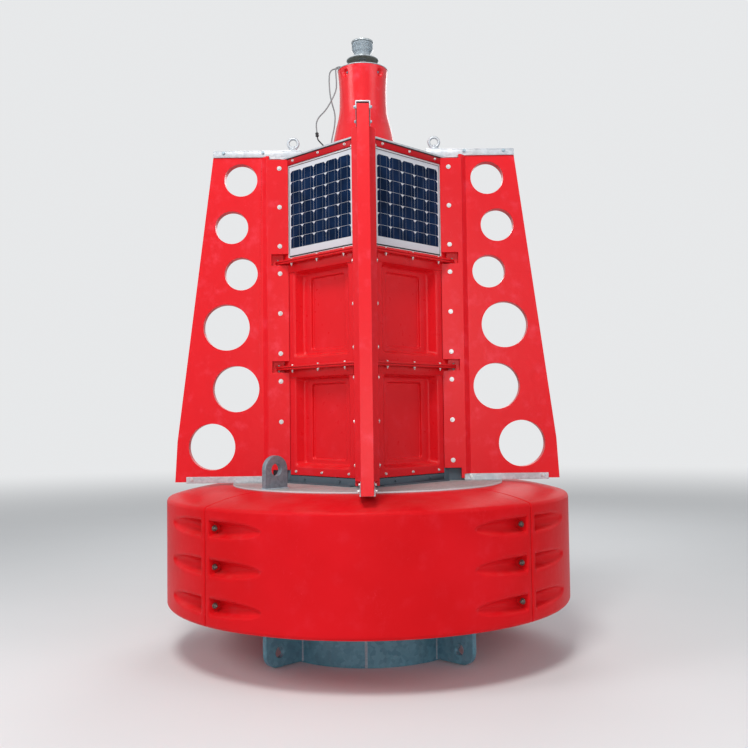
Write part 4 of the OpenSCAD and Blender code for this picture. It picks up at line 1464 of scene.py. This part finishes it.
fastened("fin_root_bolts", "root", on_both_sides(ROOT_HALF, [(ROOT_RHO, z) for z in ROOT_LEVELS]))
fastened("foot_channel_bolts", "medium", on_both_sides(
    CHANNEL_HALF, [(x, DECK_TOP + 0.027) for x in (0.748, 1.269)]))
fastened("top_bar_bolts", "medium", on_both_sides(
    CHANNEL_HALF, [(x, BAR_TOP - 0.017) for x in (0.738, 1.028)]), weld_zinc)

# %% Foot channels
soft_copies("foot_channel_", CORNERS, 0.002, bright_zinc)


# %% Top bars with forged eyes
BAR_IN, BAR_OUT, BAR_H, BAR_T, EYE_X, EYE_H = 0.458, 1.104, 0.050, 0.008, 0.520, 0.062
EYE_MAJOR, EYE_MINOR, EYE_FOOT_LONG, EYE_FOOT_WIDE, EYE_FOOT_T = 0.0365, 0.0105, 0.061, 0.034, 0.007
EYE_STEM = [(0.034, -0.0004), (0.036, 0.001), (0.036, 0.010), (0.034, 0.013), (0.024, 0.015),
            (0.0165, 0.020), (0.0140, 0.027), (0.0140, 0.034)]


def forged_ring(major, minor, place, steps=48, sides=16):
    """A round bar bent to a closed ring that stands upright in its place."""
    turns = [2 * pi * i / steps for i in range(steps)]
    sections = [(major + minor * cos(b), minor * sin(b))
                for b in (2 * pi * k / sides for k in range(sides))]
    rings = [[(r * cos(a), y, r * sin(a)) for r, y in sections] for a in turns]
    return skin("eye", rings, place, loop=True, ends=(False, False))


def top_bar(name, angle):
    top, half = BAR_TOP, CHANNEL_HALF
    sheets = [sheet(BAR_IN, BAR_OUT, -half, half, top - BAR_T, top),
              sheet(EYE_X - EYE_FOOT_LONG, EYE_X + EYE_FOOT_LONG, -EYE_FOOT_WIDE, EYE_FOOT_WIDE,
                    top - 0.001, top + EYE_FOOT_T)]
    sheets += [sheet(BAR_IN, BAR_OUT, y, y + BAR_T, top - BAR_H, top - BAR_T + 0.001)
               for y in (-half, half - BAR_T)]
    bar = bevelled(recalculated(joined(name, sheets), 1e-6), 0.002)
    eye = forged_ring(EYE_MAJOR, EYE_MINOR, Matrix.Translation((EYE_X, 0, top + EYE_H)))
    stem = turned("stem", EYE_STEM, 32, Matrix.Translation((EYE_X, 0, top + EYE_FOOT_T)))
    bar = recalculated(joined(name, [bar, eye, stem]), 1e-6)
    bar.data.transform(corner_frame(angle))
    return smoothed(bar, 40)


for place, angle in CORNERS.items():
    bar = dressed(top_bar("bar_" + place, angle), bright_zinc, ["top_bar_" + place])
print("top bars: 4 with", len(bar.data.polygons), "faces each")

# %% [markdown]
# ## Pedestal
#
# The pedestal is a round column that flares a little to its top. Towards its foot it grows
# blunt corners over the fins, and a crease runs where a corner leaves the column. The plan at
# any height is the larger of a circle and a blunt square, which is a superellipse. Both come
# from a few measured heights, with a smooth curve between them.

# %% The pedestal's two outlines
PED_H = PED_TOP - CAP_TOP
REACH_AT = [(0, 1), (0.21, 0.65), (0.36, 0.39), (0.52, 0.09), (0.77, 0), (1.0, -0.2)]
BLUNT_AT = [(0, 1.35), (0.21, 1.5), (0.36, 1.45), (0.52, 1.75), (0.77, 2), (1.0, 2)]
COLUMN_R, PED_TOP_R, CORNER_REACH, FLARE_AT, CREASE = 0.170, 0.184, 0.249, 0.6, 0.003


def eased_between(stops, t):
    """A value between measured stops, along a Catmull-Rom curve."""
    last = len(stops) - 2
    i = min(max(sum(1 for place, value in stops if place <= t) - 1, 0), last)
    (t0, v0), (t1, v1) = stops[i], stops[i + 1]
    before = stops[i - 1] if i else (t0 - (t1 - t0), v0 - (v1 - v0))
    after = stops[i + 2] if i < last else (t1 + (t1 - t0), v1 + (v1 - v0))
    k, span = (t - t0) / (t1 - t0), t1 - t0
    s0, s1 = (v1 - before[1]) / (t1 - before[0]) * span, (after[1] - v0) / (after[0] - t0) * span
    return ((2 * k ** 3 - 3 * k * k + 1) * v0 + (k ** 3 - 2 * k * k + k) * s0
            + (3 * k * k - 2 * k ** 3) * v1 + (k ** 3 - k * k) * s1)


def ped_radius(angle, share):
    """Radius of the pedestal's skin at an angle and a share of its height."""
    flare = max(0, share - FLARE_AT) / (1 - FLARE_AT)
    circle = COLUMN_R + (PED_TOP_R - COLUMN_R) * flare ** 2
    power = eased_between(BLUNT_AT, share)
    reach = COLUMN_R + (CORNER_REACH - COLUMN_R) * eased_between(REACH_AT, share)
    square = reach / (abs(cos(angle)) ** power + abs(sin(angle)) ** power) ** (1 / power)
    return 0.5 * (circle + square + sqrt((circle - square) ** 2 + CREASE ** 2))


# %% The pedestal's skin with its bolt recesses
RECESS_Z, RECESS_HALF, RECESS_DEPTH = PED_TOP - 0.046, 0.023, 0.030


def recess_depth(angle, level):
    """Four small recesses over the faces, under the mounting plate."""
    turn = (degrees(angle) % 90) - 45
    across = radians(turn) * 0.18 / RECESS_HALF
    up = (level - RECESS_Z) / (RECESS_HALF * (1.0 if level > RECESS_Z else 1.5))
    near = across ** 2 + up ** 2
    return RECESS_DEPTH * max(1 - near, 0) ** 0.4


def pedestal_skin(name, steps=256):
    heights = (spread(CAP_TOP + 0.002, PED_TOP - 0.095, 0.012)
               + spread(PED_TOP - 0.095, PED_TOP - 0.014, 0.0036)
               + spread(PED_TOP - 0.014, PED_TOP - 0.002, 0.004) + [PED_TOP - 0.002])
    levels = [(CAP_TOP + HAIR, -0.002), *((z, 0.0) for z in heights), (PED_TOP - HAIR, -0.002)]
    angles = [2 * pi * (k + 0.5) / steps for k in range(steps)]
    depth = np.array([[recess_depth(a, z) for a in angles] for z, inset in levels])
    depth = eased(depth, 1)
    rows = []
    for i, (z, inset) in enumerate(levels):
        radii = [ped_radius(a, (z - CAP_TOP) / PED_H) + inset - depth[i][k]
                 for k, a in enumerate(angles)]
        rows.append([polar(r, a, z) for r, a in zip(radii, angles)])
    return smoothed(skin(name, rows), 50)


column = dressed(pedestal_skin("pedestal_column"), red_pedestal, ["pedestal"])
print("pedestal:", len(column.data.polygons), "faces")

# %% Mounting plate and its bolts
PLATE_R, PLATE_BOLT_R = 0.186, 0.150
plate_z = high("pedestal_rim").z
plate = turned("mounting_plate", [(PLATE_R - 0.001, PED_TOP + HAIR), (PLATE_R, PED_TOP + 0.0012),
                                  (PLATE_R, plate_z - 0.0012), (PLATE_R - 0.0012, plate_z)], 128)
dressed(smoothed(plate, 30), bright_zinc, ["pedestal_rim"])
recess_spots = []
for a in diagonals:
    spot_r = ped_radius(a, (RECESS_Z + 0.004 - CAP_TOP) / PED_H) - RECESS_DEPTH + 0.001
    recess_spots.append((polar(spot_r, a, RECESS_Z + 0.004), polar(1, a, 0)))
fastened("recess_bolts", "small", recess_spots, dull_zinc, "dull_zinc")
plate_spots = [(polar(PLATE_BOLT_R, a + 0.39, plate_z), (0, 0, 1)) for a in diagonals]
fastened("plate_bolts", "small", plate_spots)

# %% [markdown]
# ## Lantern
#
# The lantern is a small, self-contained one. A foot ring carries a stem and a hollow flared
# dish, which keeps spray off; a thin dark sheet inside the dish is painted shade. On it stands
# the clear lens, wider at the top, with the lamp inside, and a domed cap with a spike against birds.
# Each piece is a turned profile.

# %% Lantern
LAMP_Z = low("lantern_base").z
BASE = [(0, 0), (100, 0), (104, 3), (104, 19), (101, 22), (60, 24.5), (30, 27), (26, 30),
        (24, 34), (24, 91), (27, 94), (62, 94), (72, 91), (92, 84), (110, 77), (114, 75.2),
        (117.6, 75.2), (119, 76.5), (119, 79), (117.4, 81), (106, 85.4), (90, 92.6), (79, 98),
        (77, 100), (77, 104), (0, 104)]
# A thin sheet under the dish, as painted shade
SHADE_LINING = [(24.3, 93.7), (62, 93.7), (72, 90.7), (92, 83.7), (110, 76.7), (112.6, 75.5),
          (110, 76.1), (92, 83.1), (72, 90.1), (62, 93.1), (24.3, 93.1)]
LENS = [(64, 104), (65, 105), (65, 109), (62, 111), (62, 128), (64, 130), (64, 135), (67, 139),
        (73, 149), (77, 158), (78, 162), (76, 165), (78, 168), (76, 171), (78, 174), (76, 177),
        (78, 180), (76, 183), (78, 186), (76, 189), (78, 192), (76, 195), (76, 206), (72, 206),
        (72, 164), (58, 134), (58, 104)]
LAMP = [(0, 0), (32, 0), (32, 8), (21, 10), (21, 20), (30, 22), (32, 24), (32, 28), (21, 31),
        (21, 44), (34, 47), (36, 49), (36, 52), (21, 56), (21, 68), (38, 72), (40, 74), (40, 77),
        (21, 82), (21, 96), (14, 100), (0, 103)]
CAP = [(0, 0), (78, 0), (81, 1.5), (82, 4), (82, 10), (80.5, 13), (76, 15), (60, 18.5), (44, 21),
       (24, 23), (11, 24.5), (7, 27), (4.5, 36), (3, 48.5), (1.5, 50), (0, 50)]


def spun(name, profile, base_z, material, nodes=(), slot=None, steps=96, loop=False):
    """A profile in millimetres, turned round the axis above a level."""
    metres = [(radius * MM, base_z + height * MM) for radius, height in profile]
    piece = recalculated(turned(name, metres, steps, loop=loop))
    dressed(smoothed(piece, 32), material, nodes, slot)


spun("lantern_foot", BASE, LAMP_Z, lantern_alloy, ["lantern_base"])
# The dark sheet inside the dish is painted shade
spun("dish_lining", SHADE_LINING, LAMP_Z, dark_lining, slot="black_plastic", loop=True)
spun("lantern_clear_lens", LENS, LAMP_Z, clear_lens, ["lantern_lens"], loop=True)
spun("lantern_light", LAMP, low("lantern_lamp").z, white_lamp, ["lantern_lamp"], steps=48)
spun("lantern_top", CAP, low("lantern_cap").z, lantern_alloy, ["lantern_cap"])

# %% [markdown]
# ## Size
#
# Both boxes are measured, the imported one at the start and the dressed one here, and printed.

# %% Boxes and table
dressed_box = [list(corner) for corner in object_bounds()]
({"cad": [[round(v, 5) for v in c] for c in cad_box],
           "dressed": [[round(v, 5) for v in c] for c in dressed_box]})
print("box:", [[round(v, 3) for v in c] for c in dressed_box])
